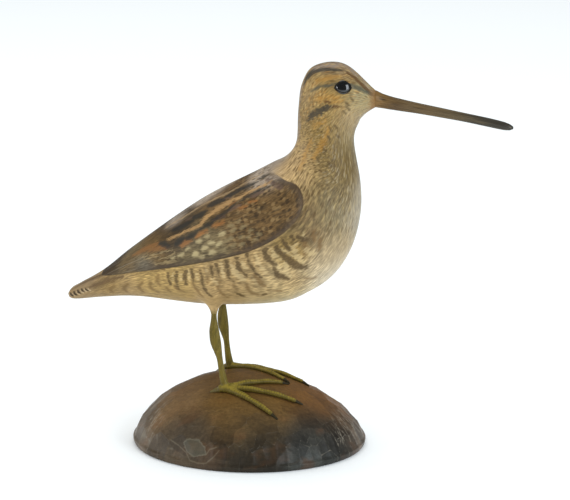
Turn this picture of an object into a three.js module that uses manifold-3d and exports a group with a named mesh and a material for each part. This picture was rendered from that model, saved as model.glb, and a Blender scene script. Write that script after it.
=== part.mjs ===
// A painted shorebird decoy: a carved wooden snipe on two legs, standing on a domed wooden base.
// Millimetres, +Z up. The bird faces +X, its left side is +Y, and the origin is the middle of
// the flat underside of the base.

import * as THREE from "three";
import { mergeVertices } from "three/addons/utils/BufferGeometryUtils.js";
import Module from "manifold-3d";

const wasm = await Module();
wasm.setup();

// The bird: its own length from tail tip to the root of the bill, and its greatest width.
const BIRD_LENGTH = 150;
const BODY_WIDTH = 58;
const BILL_LENGTH = 66;
const BILL_DROOP = THREE.MathUtils.degToRad(9.7);
const WING_RELIEF = 1.4;
const EYE_DIAMETER = 6.6;
const EYE_BULGE = 1.3;
const EYE_DEPTH = 2.4;

// The legs: heights are between the sole of the foot and the end of the thigh.
const LEG_LENGTH = 36.8;
const LEG_THICKNESS = 2.9;
const HOCK_THICKNESS = 5.3;
const LEG_TOP_SETBACK = 14.8;
const LEG_TOP_STAGGER = 0.3;
const LEG_TOP_SPACING = 27;
const THIGH_ROOT = 10.4;
const THIGH_FLARE = 7;
const THIGH_DROP = 1.8;
const FOOT_SETBACK = 10.4;
const FOOT_STAGGER = 1.4;
const FOOT_SPACING = 35.5;
const FOOT_KNUCKLE = 5.2;

// The toes: the length of the longest toe of the right foot, claw and all. Each toe's own length
// is a share of it, and its heading is in degrees from straight ahead towards the bird's left. The
// feet were bent by hand, so they aren't quite a pair.
const TOE_LENGTH = 37.6;
const TOES = {
  right: [
    { at: "outer", share: 0.8, heading: -26 },
    { at: "middle", share: 1, heading: 2 },
    { at: "inner", share: 0.87, heading: 27 },
    { at: "hind", share: 0.2, heading: 182 },
  ],
  left: [
    { at: "outer", share: 0.8, heading: 14 },
    { at: "middle", share: 1.12, heading: -14.5 },
    { at: "inner", share: 1, heading: -31 },
    { at: "hind", share: 0.2, heading: 168 },
  ],
};
const TOE_THICKNESS = 2.7;
const CLAW_LENGTH = 4.2;

// The base: a dome on an oval plan, with its crown a little behind the middle. It is widest a
// little above the table, and its lower edge is rounded under.
const BASE_LENGTH = 115;
const BASE_WIDTH = 97;
const BASE_HEIGHT = 35.2;
const CROWN_SETBACK = 3.8;
const RIM_HEIGHT = 2.8;
const RIM_UNDERCUT = 1.3;
const GOUGE_DEPTH = 1;
const GOUGE_WIDTH = 11.5;

// Clearance between two pieces that touch.
const FIT_GAP = 0.3;

// Where the eye sits on the head: how far along the stations, and how far round from the crown.
const EYE_STATION = 0.911;
const EYE_TURN = THREE.MathUtils.degToRad(78);

// Share of the bird's length, from the tail tip, at which the thighs stand.
const BALANCE = 0.4963;

// Cross-sections of the bird from tail to bill. Each is a cut through the wood from a point on
// the back to a point on the belly, in hundredths of the bird's length ahead of the tail tip and
// above the belly line. half is its half width in hundredths of the body's, and fullest is where
// it is widest, as a share of the way from belly to back.
const STATIONS = [
  { at: "tail tip", back: [0.1, 2.1], belly: [0.3, 1.3], half: 9, fullest: 0.5 },
  { at: "end of the tail", back: [1.1, 3.5], belly: [1.5, 0.5], half: 23, fullest: 0.5 },
  { at: "tail bars", back: [3.9, 5.1], belly: [4.3, 0.4], half: 30, fullest: 0.56 },
  { at: "wing tips", back: [12, 10.1], belly: [12.9, 1.3], half: 37, fullest: 0.59 },
  { at: "rump", back: [22.6, 18.8], belly: [24.4, 1.8], half: 50, fullest: 0.61 },
  { at: "thighs", back: [43.8, 34.2], belly: [47.5, 0.3], half: 86, fullest: 0.54 },
  { at: "mid back", back: [62.3, 44.3], belly: [69.9, 1.8], half: 100, fullest: 0.5 },
  { at: "mantle", back: [67.6, 47.2], belly: [80.3, 5.9], half: 97.5, fullest: 0.5 },
  { at: "shoulders", back: [70.8, 48.8], belly: [87.9, 11.8], half: 91, fullest: 0.5 },
  { at: "wing fronts", back: [73.1, 50.8], belly: [93.1, 20.5], half: 79, fullest: 0.5 },
  { at: "breast", back: [74.7, 53.4], belly: [95.6, 30.8], half: 67, fullest: 0.5 },
  { at: "root of the neck", back: [75.4, 56.8], belly: [95.6, 40.7], half: 56, fullest: 0.5 },
  { at: "neck", back: [75.7, 65.2], belly: [93.4, 54.8], half: 43.5, fullest: 0.5 },
  { at: "nape", back: [76.9, 73.4], belly: [95, 61.1], half: 42, fullest: 0.5 },
  { at: "back of the crown", back: [80.8, 78.8], belly: [96.5, 63.3], half: 42, fullest: 0.48 },
  { at: "brow", back: [90, 79.5], belly: [98, 64.6], half: 36, fullest: 0.46 },
  { at: "root of the bill", back: [100.1, 71.3], belly: [100.1, 65.9], half: 13, fullest: 0.5 },
];
const SECTION_POWER = 2.15;

// The folded wing's edge in side view, in the same hundredths, from its tip along the lower edge
// and round the front to the notch below the mantle, and from there over the back.
const WING_EDGE = [
  [12, 9.3], [27.7, 13], [43, 16.8], [58.6, 21.2], [67, 24.8],
  [74, 29.5], [78.3, 34.6], [79, 39.2], [76.9, 43], [72.5, 44.4], [68.5, 46],
];
const WING_OVER_BACK = [[64, 56], [30, 36], [10, 20]];

// The bill in profile: shares of its length, and of its height and width at the root. low is how
// far its middle sinks below a straight line, as a share of the height at the root.
const BILL_PROFILE = [
  { along: 0, tall: 1, wide: 1, low: 0 },
  { along: 0.05, tall: 0.86, wide: 0.84, low: 0.05 },
  { along: 0.13, tall: 0.76, wide: 0.72, low: 0.08 },
  { along: 0.3, tall: 0.64, wide: 0.6, low: 0.08 },
  { along: 0.47, tall: 0.58, wide: 0.54, low: 0.08 },
  { along: 0.65, tall: 0.53, wide: 0.5, low: 0.09 },
  { along: 0.83, tall: 0.53, wide: 0.52, low: 0.12 },
  { along: 0.93, tall: 0.49, wide: 0.54, low: 0.15 },
  { along: 0.975, tall: 0.36, wide: 0.42, low: 0.16 },
  { along: 1, tall: 0.14, wide: 0.16, low: 0.16 },
];

// The leg from thigh to sole: shares of its length and of its bow, and its two thicknesses as
// shares of the way from the plain leg to the hock.
const LEG_PROFILE = [
  { down: 0, bow: 0, deep: -0.08, broad: -0.05 },
  { down: 0.1, bow: 0.4, deep: 0.1, broad: 0 },
  { down: 0.2, bow: 0.8, deep: 0.7, broad: 0.2 },
  { down: 0.3, bow: 1, deep: 1, broad: 0.3 },
  { down: 0.42, bow: 1, deep: 1, broad: 0.25 },
  { down: 0.52, bow: 0.75, deep: 0.5, broad: 0.1 },
  { down: 0.62, bow: 0.5, deep: 0.04, broad: 0 },
  { down: 0.78, bow: 0.45, deep: 0.12, broad: 0.05 },
  { down: 0.9, bow: 0.3, deep: 0.35, broad: 0.25 },
  { down: 1, bow: 0, deep: 0.6, broad: 0.5 },
];
const LEG_BOW = 1.4;

// The last rings of a claw: how far along it each lies, and its thickness as a share of the toe's.
const CLAW_PROFILE = [
  { along: 0.2, thick: 0.68 },
  { along: 1, thick: 0.3 },
];
const TOE_JOINTS = 3;

const BODY_RINGS = 53;
const BODY_SIDES = 28;
const BASE_RINGS = 13;
const BASE_SIDES = 64;
const BILL_SIDES = 12;
const THIGH_SIDES = 16;
const THIGH_STEPS = 6;
const EYE_SIDES = 16;
const EYE_STEPS = 5;
const LEG_SIDES = 10;
const TOE_SIDES = 8;
const TOE_STEPS = 6;

const paint = {
  plumage: new THREE.MeshStandardMaterial({ color: 0xb08d5a, roughness: 0.5, metalness: 0 }),
  bill: new THREE.MeshStandardMaterial({ color: 0x5a4836, roughness: 0.45, metalness: 0 }),
  glass: new THREE.MeshStandardMaterial({ color: 0x0a0807, roughness: 0.05, metalness: 0 }),
  legs: new THREE.MeshStandardMaterial({ color: 0x77702f, roughness: 0.5, metalness: 0 }),
  base: new THREE.MeshStandardMaterial({ color: 0x5b3f2c, roughness: 0.5, metalness: 0 }),
};

// Closed skin over rings of equally many points, with a middle point at each end.
function loft(rings) {
  const sides = rings[0].length;
  const points = rings.flat();
  const first = points.length;
  const last = first + 1;
  points.push(middleOf(rings[0]), middleOf(rings.at(-1)));
  const faces = [];
  for (let i = 0; i < rings.length - 1; i += 1) {
    for (let j = 0; j < sides; j += 1) {
      const next = (j + 1) % sides;
      const a = i * sides + j;
      const b = i * sides + next;
      faces.push(a, b, b + sides, a, b + sides, a + sides);
    }
  }
  const end = (rings.length - 1) * sides;
  for (let j = 0; j < sides; j += 1) {
    const next = (j + 1) % sides;
    faces.push(next, j, first, end + j, end + next, last);
  }
  const geometry = new THREE.BufferGeometry().setFromPoints(points);
  geometry.setIndex(signedVolume(points, faces) < 0 ? faces.toReversed() : faces);
  return geometry;
}

function middleOf(ring) {
  const sum = ring.reduce((total, point) => total.add(point), new THREE.Vector3());
  return sum.divideScalar(ring.length);
}

function signedVolume(points, faces) {
  let volume = 0;
  for (let i = 0; i < faces.length; i += 3) {
    const [a, b, c] = [points[faces[i]], points[faces[i + 1]], points[faces[i + 2]]];
    volume += a.dot(new THREE.Vector3().crossVectors(b, c));
  }
  return volume;
}

// A closed geometry as a solid that can be joined or cut, and back again.
function solidOf(geometry) {
  const bare = geometry.clone();
  bare.deleteAttribute("normal");
  bare.deleteAttribute("uv");
  const merged = mergeVertices(bare);
  const index = merged.index.array;
  const kept = [];
  for (let i = 0; i < index.length; i += 3) {
    const [a, b, c] = [index[i], index[i + 1], index[i + 2]];
    if (a !== b && b !== c && c !== a) kept.push(a, b, c);
  }
  return new wasm.Manifold(new wasm.Mesh({
    numProp: 3,
    vertProperties: new Float32Array(merged.attributes.position.array),
    triVerts: new Uint32Array(kept),
  }));
}

function geometryOf(solid) {
  const { numProp, vertProperties, triVerts } = solid.getMesh();
  const corners = [];
  for (let i = 0; i < vertProperties.length; i += numProp) {
    corners.push(vertProperties[i], vertProperties[i + 1], vertProperties[i + 2]);
  }
  const geometry = new THREE.BufferGeometry();
  geometry.setAttribute("position", new THREE.Float32BufferAttribute(corners, 3));
  geometry.setIndex(Array.from(triVerts));
  return geometry;
}

function piece(name, geometry, material) {
  geometry.computeVertexNormals();
  const mesh = new THREE.Mesh(geometry, material);
  mesh.name = name;
  return mesh;
}

// A spread of numbers between 0 and 1 that looks random and is always the same.
function scatter(seed) {
  const wave = Math.sin(seed * 12.9898) * 43758.5453;
  return wave - Math.floor(wave);
}

// The base. Its plain height over a place on the table falls away from the crown to the rim.
function domeHeight(x, y) {
  const outward = Math.hypot(x / (BASE_LENGTH / 2), y / (BASE_WIDTH / 2));
  const shift = CROWN_SETBACK * (1 - Math.min(outward, 1) ** 2);
  const share = Math.hypot((x + shift) / (BASE_LENGTH / 2), y / (BASE_WIDTH / 2));
  const shoulder = 1.75;
  const fullness = 0.635;
  const rise = Math.max(1 - share ** shoulder, 0) ** fullness;
  return RIM_HEIGHT + (BASE_HEIGHT - RIM_HEIGHT) * rise;
}

function domePoint(x, y) {
  return new THREE.Vector3(x, y, domeHeight(x, y));
}

function domeNormal(x, y) {
  const step = 0.5;
  const alongX = domePoint(x + step, y).sub(domePoint(x - step, y));
  const alongY = domePoint(x, y + step).sub(domePoint(x, y - step));
  return alongX.cross(alongY).normalize();
}

// The middles of the gouge cuts, in rings round the dome, each ring turned and spaced unevenly.
function gougeCuts() {
  const unevenRound = 0.6;
  const unevenOut = 0.06;
  const firstRow = 0.3;
  const fewest = 3;
  const seedsPerRow = 97;
  const outwardSeeds = 31;
  const cuts = [];
  const slope = BASE_LENGTH / 4 + BASE_HEIGHT;
  const rows = Math.round(slope / GOUGE_WIDTH);
  for (let row = 0; row <= rows; row += 1) {
    const outward = Math.sin((Math.PI / 2) * (1 - (row + firstRow) / (rows + 1)));
    const round = outward * Math.PI * (BASE_LENGTH + BASE_WIDTH) / 2;
    const count = Math.max(Math.round(round / GOUGE_WIDTH), fewest);
    const halfStep = (row % 2) / 2;
    for (let i = 0; i < count; i += 1) {
      const seed = row * seedsPerRow + i + 1;
      const sideways = unevenRound * (scatter(seed) - 0.5);
      const angle = (i + halfStep + sideways) / count * 2 * Math.PI;
      const reach = outward * (1 + unevenOut * (scatter(seed + outwardSeeds) - 0.5));
      const x = reach * BASE_LENGTH / 2 * Math.cos(angle);
      const y = reach * BASE_WIDTH / 2 * Math.sin(angle);
      cuts.push(domePoint(x, y));
    }
  }
  return cuts;
}

// How deep the nearest cut goes at a point of the dome: full in its middle, none at its edges,
// and fainter near the crown, where the dome was smoothed for the feet.
function gougeDepth(point, cuts) {
  const faintest = 0.15;
  const roughFrom = BASE_HEIGHT * 0.6;
  const cutRadius = GOUGE_WIDTH * Math.SQRT1_2;
  const nearest = Math.min(...cuts.map((cut) => cut.distanceTo(point)));
  const hollow = 1 - Math.min(nearest / cutRadius, 1) ** 2;
  const rough = THREE.MathUtils.smoothstep(BASE_HEIGHT - point.z, 0, roughFrom);
  return GOUGE_DEPTH * hollow * (faintest + (1 - faintest) * rough);
}

// The rounded lower edge: a quarter round in from the widest line down to the underside.
function rimRing(share) {
  const inset = RIM_UNDERCUT * (1 - Math.sqrt(1 - share ** 2));
  return Array.from({ length: BASE_SIDES }, (_, j) => {
    const angle = (j / BASE_SIDES) * 2 * Math.PI;
    const x = (BASE_LENGTH / 2 - inset) * Math.cos(angle);
    const y = (BASE_WIDTH / 2 - inset) * Math.sin(angle);
    return new THREE.Vector3(x, y, RIM_HEIGHT * (1 - share));
  });
}

function makeBase() {
  const halfRound = 0.7;
  const cuts = gougeCuts();
  const rings = [rimRing(1), rimRing(halfRound)];
  for (let i = 0; i <= BASE_RINGS; i += 1) {
    const outward = Math.sin((Math.PI / 2) * (1 - i / (BASE_RINGS + 0.5)));
    const ring = [];
    for (let j = 0; j < BASE_SIDES; j += 1) {
      const angle = (j / BASE_SIDES) * 2 * Math.PI;
      const x = outward * BASE_LENGTH / 2 * Math.cos(angle);
      const y = outward * BASE_WIDTH / 2 * Math.sin(angle);
      const point = domePoint(x, y);
      if (i > 0) point.addScaledVector(domeNormal(x, y), -gougeDepth(point, cuts));
      ring.push(point);
    }
    rings.push(ring);
  }
  return loft(rings);
}

// The bird stands with its thighs over LEG_TOP_SETBACK, at the height that the legs give it.
const soleLevel = domeHeight(-FOOT_SETBACK, FOOT_SPACING / 2) + FIT_GAP;
const thighEnd = soleLevel + LEG_LENGTH;
const bellyLevel = thighEnd + THIGH_DROP;
const tailTip = -LEG_TOP_SETBACK - BALANCE * BIRD_LENGTH;

// A place in side view, from hundredths of the bird's length to millimetres.
function sidePoint([along, above]) {
  const unit = BIRD_LENGTH / 100;
  return new THREE.Vector3(tailTip + along * unit, 0, bellyLevel + above * unit);
}

const backLine = new THREE.CatmullRomCurve3(
  STATIONS.map((station) => sidePoint(station.back)), false, "catmullrom", 0.5);
const bellyLine = new THREE.CatmullRomCurve3(
  STATIONS.map((station) => sidePoint(station.belly)), false, "catmullrom", 0.5);
const widths = new THREE.CatmullRomCurve3(
  STATIONS.map(({ half, fullest }) => new THREE.Vector3(half / 100 * BODY_WIDTH / 2, fullest, 0)),
  false, "catmullrom", 0.5);

// A point of the bird's surface: station runs from 0 at the tail to 1 at the bill, and turn goes
// round from the back over the left side. swell adds to the half width and sink lowers the back.
function skin(station, turn, swell = 0, sink = 0) {
  const back = backLine.getPoint(station);
  const belly = bellyLine.getPoint(station);
  const { x: half, y: fullest } = widths.getPoint(station);
  const power = 2 / SECTION_POWER;
  const upward = Math.sign(Math.cos(turn)) * Math.abs(Math.cos(turn)) ** power;
  const sideways = Math.sign(Math.sin(turn)) * Math.abs(Math.sin(turn)) ** power;
  const reach = upward > 0 ? 1 - fullest : fullest;
  const chord = belly.distanceTo(back);
  const top = back.lerp(belly, sink / chord);
  const point = belly.lerp(top, fullest + reach * upward);
  point.y = (half + swell) * sideways;
  return point;
}

// Stations an even distance apart, measured along the back and the belly together.
function evenStations(count) {
  const fine = 40;
  const hair = 1e-6;
  const travelled = [0];
  for (let i = 1; i <= count * fine; i += 1) {
    const [before, after] = [(i - 1) / (count * fine), i / (count * fine)];
    const step = backLine.getPoint(before).distanceTo(backLine.getPoint(after))
      + bellyLine.getPoint(before).distanceTo(bellyLine.getPoint(after));
    travelled.push(travelled.at(-1) + step);
  }
  const total = travelled.at(-1);
  return Array.from({ length: count + 1 }, (_, i) => {
    const place = travelled.findIndex((length) => length >= total * i / count - hair);
    return place / (count * fine);
  });
}

function birdLoft(swellAt, sink) {
  const rings = evenStations(BODY_RINGS).map((station) => {
    return Array.from({ length: BODY_SIDES }, (_, j) => {
      const turn = (j / BODY_SIDES) * 2 * Math.PI;
      return skin(station, turn, swellAt(turn), sink);
    });
  });
  return loft(rings);
}

// The wings: a fatter copy of the bird, cut to the wing's outline. It stands proud along the
// lower edge and the front, and runs in under the back.
function makeWings() {
  const underBack = 0.25;
  const sinkShare = 0.3;
  const fullFrom = { least: 0.1, most: 0.9 };
  const stepsPerPoint = 4;
  const proudAt = (turn) => {
    const fromBack = Math.min(turn, 2 * Math.PI - turn);
    const full = THREE.MathUtils.smoothstep(fromBack, fullFrom.least, fullFrom.most);
    return WING_RELIEF * ((1 + underBack) * full - underBack);
  };
  const flat = (place) => {
    const { x, z } = sidePoint(place);
    return new THREE.Vector2(x, z);
  };
  const edge = new THREE.SplineCurve(WING_EDGE.map(flat));
  const outline = new THREE.Shape();
  outline.setFromPoints([
    ...edge.getPoints(WING_EDGE.length * stepsPerPoint), ...WING_OVER_BACK.map(flat),
  ]);
  const cutter = new THREE.ExtrudeGeometry(outline, { depth: 2 * BODY_WIDTH, bevelEnabled: false });
  cutter.translate(0, 0, -BODY_WIDTH);
  cutter.rotateX(Math.PI / 2);
  return solidOf(birdLoft(proudAt, WING_RELIEF * sinkShare)).intersect(solidOf(cutter));
}

// Where each leg joins its thigh, and where its foot stands on the dome.
function legEnds(side) {
  const sign = side === "left" ? 1 : -1;
  const x = -FOOT_SETBACK - sign * FOOT_STAGGER;
  const y = sign * FOOT_SPACING / 2;
  return {
    top: new THREE.Vector3(
      sign * LEG_TOP_STAGGER - LEG_TOP_SETBACK, sign * LEG_TOP_SPACING / 2, thighEnd),
    foot: new THREE.Vector3(x, y, domeHeight(x, y) + FIT_GAP),
  };
}

// An oval ring round a middle point, in the plane of two directions.
function ovalRing(middle, across, up, halfAcross, halfUp, sides) {
  return Array.from({ length: sides }, (_, i) => {
    const angle = (i / sides) * 2 * Math.PI;
    return middle.clone()
      .addScaledVector(across, halfAcross * Math.cos(angle))
      .addScaledVector(up, halfUp * Math.sin(angle));
  });
}

const FORWARD = new THREE.Vector3(1, 0, 0);
const LEFTWARD = new THREE.Vector3(0, 1, 0);
const UPWARD = new THREE.Vector3(0, 0, 1);

// A thigh: a stub below the belly that narrows to the leg.
function makeThigh(side) {
  const { top } = legEnds(side);
  const narrowness = 0.85;
  const flareCurve = 1.6;
  const rings = [];
  for (let i = 0; i <= THIGH_STEPS; i += 1) {
    const share = i / THIGH_STEPS;
    const half = (LEG_THICKNESS + (THIGH_ROOT - LEG_THICKNESS) * share ** flareCurve) / 2;
    const middle = top.clone().addScaledVector(UPWARD, THIGH_FLARE * share);
    rings.push(ovalRing(middle, FORWARD, LEFTWARD, half, half * narrowness, THIGH_SIDES));
  }
  rings.push(rings.at(-1).map((point) => point.clone().addScaledVector(UPWARD, THIGH_FLARE)));
  return loft(rings);
}

// The eye: a low glass dome with a short round back, set square to the side of the head.
function eyeSeat(side) {
  const turn = side === "left" ? EYE_TURN : -EYE_TURN;
  const step = 0.01;
  const place = skin(EYE_STATION, turn);
  const alongHead = skin(EYE_STATION + step, turn).sub(skin(EYE_STATION - step, turn));
  const roundHead = skin(EYE_STATION, turn + step).sub(skin(EYE_STATION, turn - step));
  const outward = alongHead.cross(roundHead).normalize();
  if (outward.y * place.y < 0) outward.negate();
  return new THREE.Matrix4().compose(
    place, new THREE.Quaternion().setFromUnitVectors(LEFTWARD, outward), new THREE.Vector3(1, 1, 1));
}

function makeEye(side, clearance) {
  const radius = EYE_DIAMETER / 2 + clearance;
  const profile = [new THREE.Vector2(0, -EYE_DEPTH - clearance)];
  profile.push(new THREE.Vector2(radius, -EYE_DEPTH - clearance));
  for (let i = 0; i < EYE_STEPS; i += 1) {
    const angle = (i / EYE_STEPS) * Math.PI / 2;
    const height = (EYE_BULGE + clearance) * Math.sin(angle);
    profile.push(new THREE.Vector2(radius * Math.cos(angle), height));
  }
  profile.push(new THREE.Vector2(0, EYE_BULGE + clearance));
  return new THREE.LatheGeometry(profile, EYE_SIDES).applyMatrix4(eyeSeat(side));
}

function makeBody() {
  let body = solidOf(birdLoft(() => 0, 0)).add(makeWings());
  for (const side of ["left", "right"]) {
    body = body.add(solidOf(makeThigh(side)));
    body = body.subtract(solidOf(makeEye(side, FIT_GAP)));
  }
  return geometryOf(body);
}

// The bill goes on from the last section of the head, level with its middle.
function makeBill() {
  const root = STATIONS.at(-1);
  const tall = (root.back[1] - root.belly[1]) / 100 * BIRD_LENGTH;
  const wide = root.half / 100 * BODY_WIDTH;
  const start = skin(1, 0).add(skin(1, Math.PI)).divideScalar(2);
  start.x += FIT_GAP;
  const rings = BILL_PROFILE.map((row) => {
    const middle = start.clone();
    middle.x += row.along * BILL_LENGTH * Math.cos(BILL_DROOP);
    middle.z -= row.along * BILL_LENGTH * Math.sin(BILL_DROOP) + row.low * tall;
    return ovalRing(middle, LEFTWARD, UPWARD, row.wide * wide / 2, row.tall * tall / 2, BILL_SIDES);
  });
  return loft(rings);
}

// A toe lies along the dome from the foot's knuckle, swells at its joints and ends in a claw.
function makeToe(foot, { share: ofLongest, heading }) {
  const jointSwell = 0.1;
  const rootThick = 1.12;
  const tipThick = 0.87;
  const flatness = 0.9;
  const angle = THREE.MathUtils.degToRad(heading);
  const ahead = new THREE.Vector3(Math.cos(angle), Math.sin(angle), 0);
  const length = ofLongest * TOE_LENGTH;
  const fleshy = length - CLAW_LENGTH;
  const stretch = Array.from({ length: TOE_STEPS + 1 }, (_, i) => {
    return { reach: fleshy * i / TOE_STEPS, thick: 1 };
  });
  for (const { along, thick } of CLAW_PROFILE) {
    stretch.push({ reach: fleshy + CLAW_LENGTH * along, thick });
  }
  const rings = stretch.map(({ reach, thick }) => {
    const share = reach / length;
    const joint = 1 + jointSwell * Math.cos(share * TOE_JOINTS * 2 * Math.PI);
    const taper = rootThick + (tipThick - rootThick) * share;
    const half = TOE_THICKNESS / 2 * thick * joint * taper;
    const x = foot.x + ahead.x * reach;
    const y = foot.y + ahead.y * reach;
    const normal = domeNormal(x, y);
    const across = new THREE.Vector3().crossVectors(ahead, normal).normalize();
    const middle = domePoint(x, y).addScaledVector(normal, FIT_GAP + half * flatness);
    return ovalRing(middle, across, normal, half, half * flatness, TOE_SIDES);
  });
  return solidOf(loft(rings));
}

// The knuckle where the toes meet under the leg.
function makeKnuckle(foot) {
  const lengthShare = 1.15;
  const heightShare = 0.72;
  const knuckle = new THREE.SphereGeometry(FOOT_KNUCKLE / 2, LEG_SIDES, LEG_SIDES / 2);
  const normal = domeNormal(foot.x, foot.y);
  knuckle.scale(lengthShare, heightShare, 1);
  knuckle.applyQuaternion(new THREE.Quaternion().setFromUnitVectors(LEFTWARD, normal));
  const lift = FIT_GAP + heightShare * FOOT_KNUCKLE / 2;
  const middle = domePoint(foot.x, foot.y).addScaledVector(normal, lift);
  return solidOf(knuckle.translate(middle.x, middle.y, middle.z));
}

function makeLeg(side) {
  const { top, foot } = legEnds(side);
  const upper = top.clone().addScaledVector(UPWARD, -FIT_GAP);
  const sole = foot.clone().addScaledVector(UPWARD, TOE_THICKNESS / 2);
  const rings = LEG_PROFILE.map((row) => {
    const middle = upper.clone().lerp(sole, row.down);
    middle.x -= row.bow * LEG_BOW;
    const thickening = HOCK_THICKNESS - LEG_THICKNESS;
    const deep = LEG_THICKNESS + thickening * row.deep;
    const broad = LEG_THICKNESS + thickening * row.broad;
    return ovalRing(middle, FORWARD, LEFTWARD, deep / 2, broad / 2, LEG_SIDES);
  });
  const upright = solidOf(loft(rings)).add(makeKnuckle(foot));
  return geometryOf(TOES[side].reduce((leg, toe) => leg.add(makeToe(foot, toe)), upright));
}

const group = new THREE.Group();
group.add(piece("base", makeBase(), paint.base));
group.add(piece("body", makeBody(), paint.plumage));
group.add(piece("bill", makeBill(), paint.bill));
for (const side of ["left", "right"]) {
  group.add(piece(`eye_${side}`, makeEye(side, 0), paint.glass));
  group.add(piece(`leg_${side}`, makeLeg(side), paint.legs));
}

export default group;
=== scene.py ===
# %% [markdown]
# # A painted shorebird decoy on its stand
#
# The object is a life-size snipe, carved from wood and painted with a fine brush. It has a long
# painted bill, glass eyes and two painted legs, and it stands on a domed base cut with a gouge.
#
# A plain solid model of it already exists, with every size in it. This lesson loads that model,
# makes a finer skin over each of its pieces, and then does what a decoy painter does: a ground
# coat first, then bars and stripes, then the smallest strokes. All lengths here are in
# millimetres, and only the last step of making a mesh turns them into Blender's metres.

import math

import bpy
import numpy as np
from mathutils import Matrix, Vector


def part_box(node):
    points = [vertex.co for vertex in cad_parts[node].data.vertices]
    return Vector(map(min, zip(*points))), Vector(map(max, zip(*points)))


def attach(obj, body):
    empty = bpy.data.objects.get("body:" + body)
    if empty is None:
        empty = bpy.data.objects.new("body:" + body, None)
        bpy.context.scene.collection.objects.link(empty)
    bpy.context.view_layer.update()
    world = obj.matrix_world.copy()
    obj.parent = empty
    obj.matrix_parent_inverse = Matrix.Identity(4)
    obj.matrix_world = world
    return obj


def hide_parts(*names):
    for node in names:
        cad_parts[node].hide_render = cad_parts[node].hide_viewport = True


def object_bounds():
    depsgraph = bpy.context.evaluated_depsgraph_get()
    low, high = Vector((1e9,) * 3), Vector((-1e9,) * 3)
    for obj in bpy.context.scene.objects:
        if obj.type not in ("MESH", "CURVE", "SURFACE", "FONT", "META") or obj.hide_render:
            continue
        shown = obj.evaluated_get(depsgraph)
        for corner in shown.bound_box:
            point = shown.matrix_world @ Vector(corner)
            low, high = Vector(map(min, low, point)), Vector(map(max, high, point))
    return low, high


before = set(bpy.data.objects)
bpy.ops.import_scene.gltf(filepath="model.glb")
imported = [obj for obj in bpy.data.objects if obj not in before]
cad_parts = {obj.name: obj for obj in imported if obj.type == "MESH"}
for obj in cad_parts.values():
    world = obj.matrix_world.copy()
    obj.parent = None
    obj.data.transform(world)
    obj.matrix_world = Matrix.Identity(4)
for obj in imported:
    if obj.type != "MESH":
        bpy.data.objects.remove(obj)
solid_box = [list(corner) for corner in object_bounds()]
MM = 0.001

print("pieces of the solid model:", ", ".join(sorted(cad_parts)))

# %% [markdown]
# ## Tools for curves
#
# A carver marks a few points and joins them with a fair curve. A Catmull-Rom spline does the
# same: it passes through every point that it's given, so each point can be read off the real
# object. The second tool, an eased step, is the usual way to fade one thing into another.

# %% Smooth curves and eased steps
def smooth_through(points, shares):
    """Places at the given shares, from 0 to 1, of a smooth curve through the points."""
    points = np.asarray(points, float)
    before = 2 * points[0] - points[1]
    after = 2 * points[-1] - points[-2]
    padded = np.vstack([before, points, after])
    place = np.clip(shares, 0, 1) * (len(points) - 1)
    first = np.minimum(place.astype(int), len(points) - 2)
    t = (place - first)[:, None]
    a, b, c, d = (padded[first + k] for k in range(4))
    return b + 0.5 * t * (c - a + t * (2 * a - 5 * b + 4 * c - d + t * (3 * (b - c) + d - a)))


def ease(value, low, high):
    """0 up to low, 1 from high on, and a smooth rise between them."""
    t = np.clip((value - low) / (high - low), 0, 1)
    return t * t * (3 - 2 * t)


def scatter(seed):
    """A number from 0 to 1 that looks random and is always the same for one seed."""
    wave = math.sin(seed * 12.9898) * 43758.5453
    return wave - math.floor(wave)


# %% [markdown]
# ## Tools for meshes
#
# Every piece here is made of rings of points, laid side by side like the hoops of a barrel.
# Neighbouring rings are joined by quads and each end is closed by a fan of triangles. That gives
# a tidy closed skin with even quads, which shades better than a mesh cut up by booleans.

# %% Rings of points into a mesh
def closed_faces(count, sides, first=0):
    """Faces over rings of points, with a middle point for each end after the last ring."""
    i, j = np.meshgrid(np.arange(count - 1), np.arange(sides), indexing="ij")
    a = first + i * sides + j
    b = first + i * sides + (j + 1) % sides
    faces = np.stack([a, b, b + sides, a + sides], -1).reshape(-1, 4).tolist()
    middle = first + count * sides
    last = first + (count - 1) * sides
    for j in range(sides):
        k = (j + 1) % sides
        faces.append([first + k, first + j, middle])
        faces.append([last + j, last + k, middle + 1])
    return faces


def skin_points(rings):
    """The points of the rings and the middle point of each end ring."""
    return np.vstack([rings.reshape(-1, 3), rings[0].mean(axis=0), rings[-1].mean(axis=0)])


def volume_sign(points, faces):
    """Whether the faces look outward (1) or inward (-1)."""
    corners = np.array([face[:3] for face in faces])
    a, b, c = (points[corners[:, k]] for k in range(3))
    total = np.einsum("ij,ij->", a, np.cross(b, c))
    fourth = np.array([[f[0], f[2], f[3]] for f in faces if len(f) == 4])
    a, b, c = (points[fourth[:, k]] for k in range(3))
    return math.copysign(1, total + np.einsum("ij,ij->", a, np.cross(b, c)))


def make_piece(name, shells):
    """One smooth-shaded object from closed shells of rings, all in millimetres."""
    points, faces = [], []
    for rings in shells:
        shell = skin_points(rings)
        shell_faces = closed_faces(*rings.shape[:2])
        if volume_sign(shell, shell_faces) < 0:
            shell_faces = [face[::-1] for face in shell_faces]
        first = sum(len(block) for block in points)
        points.append(shell)
        faces += [[corner + first for corner in face] for face in shell_faces]
    points = np.vstack(points)
    mesh = bpy.data.meshes.new(name)
    mesh.from_pydata((points * MM).tolist(), [], faces)
    mesh.polygons.foreach_set("use_smooth", [True] * len(mesh.polygons))
    piece = bpy.data.objects.new(name, mesh)
    bpy.context.scene.collection.objects.link(piece)
    triangles = sum(len(face) - 2 for face in faces)
    print(f"{name}: {len(points)} points, {triangles} triangles")
    return piece, points


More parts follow.
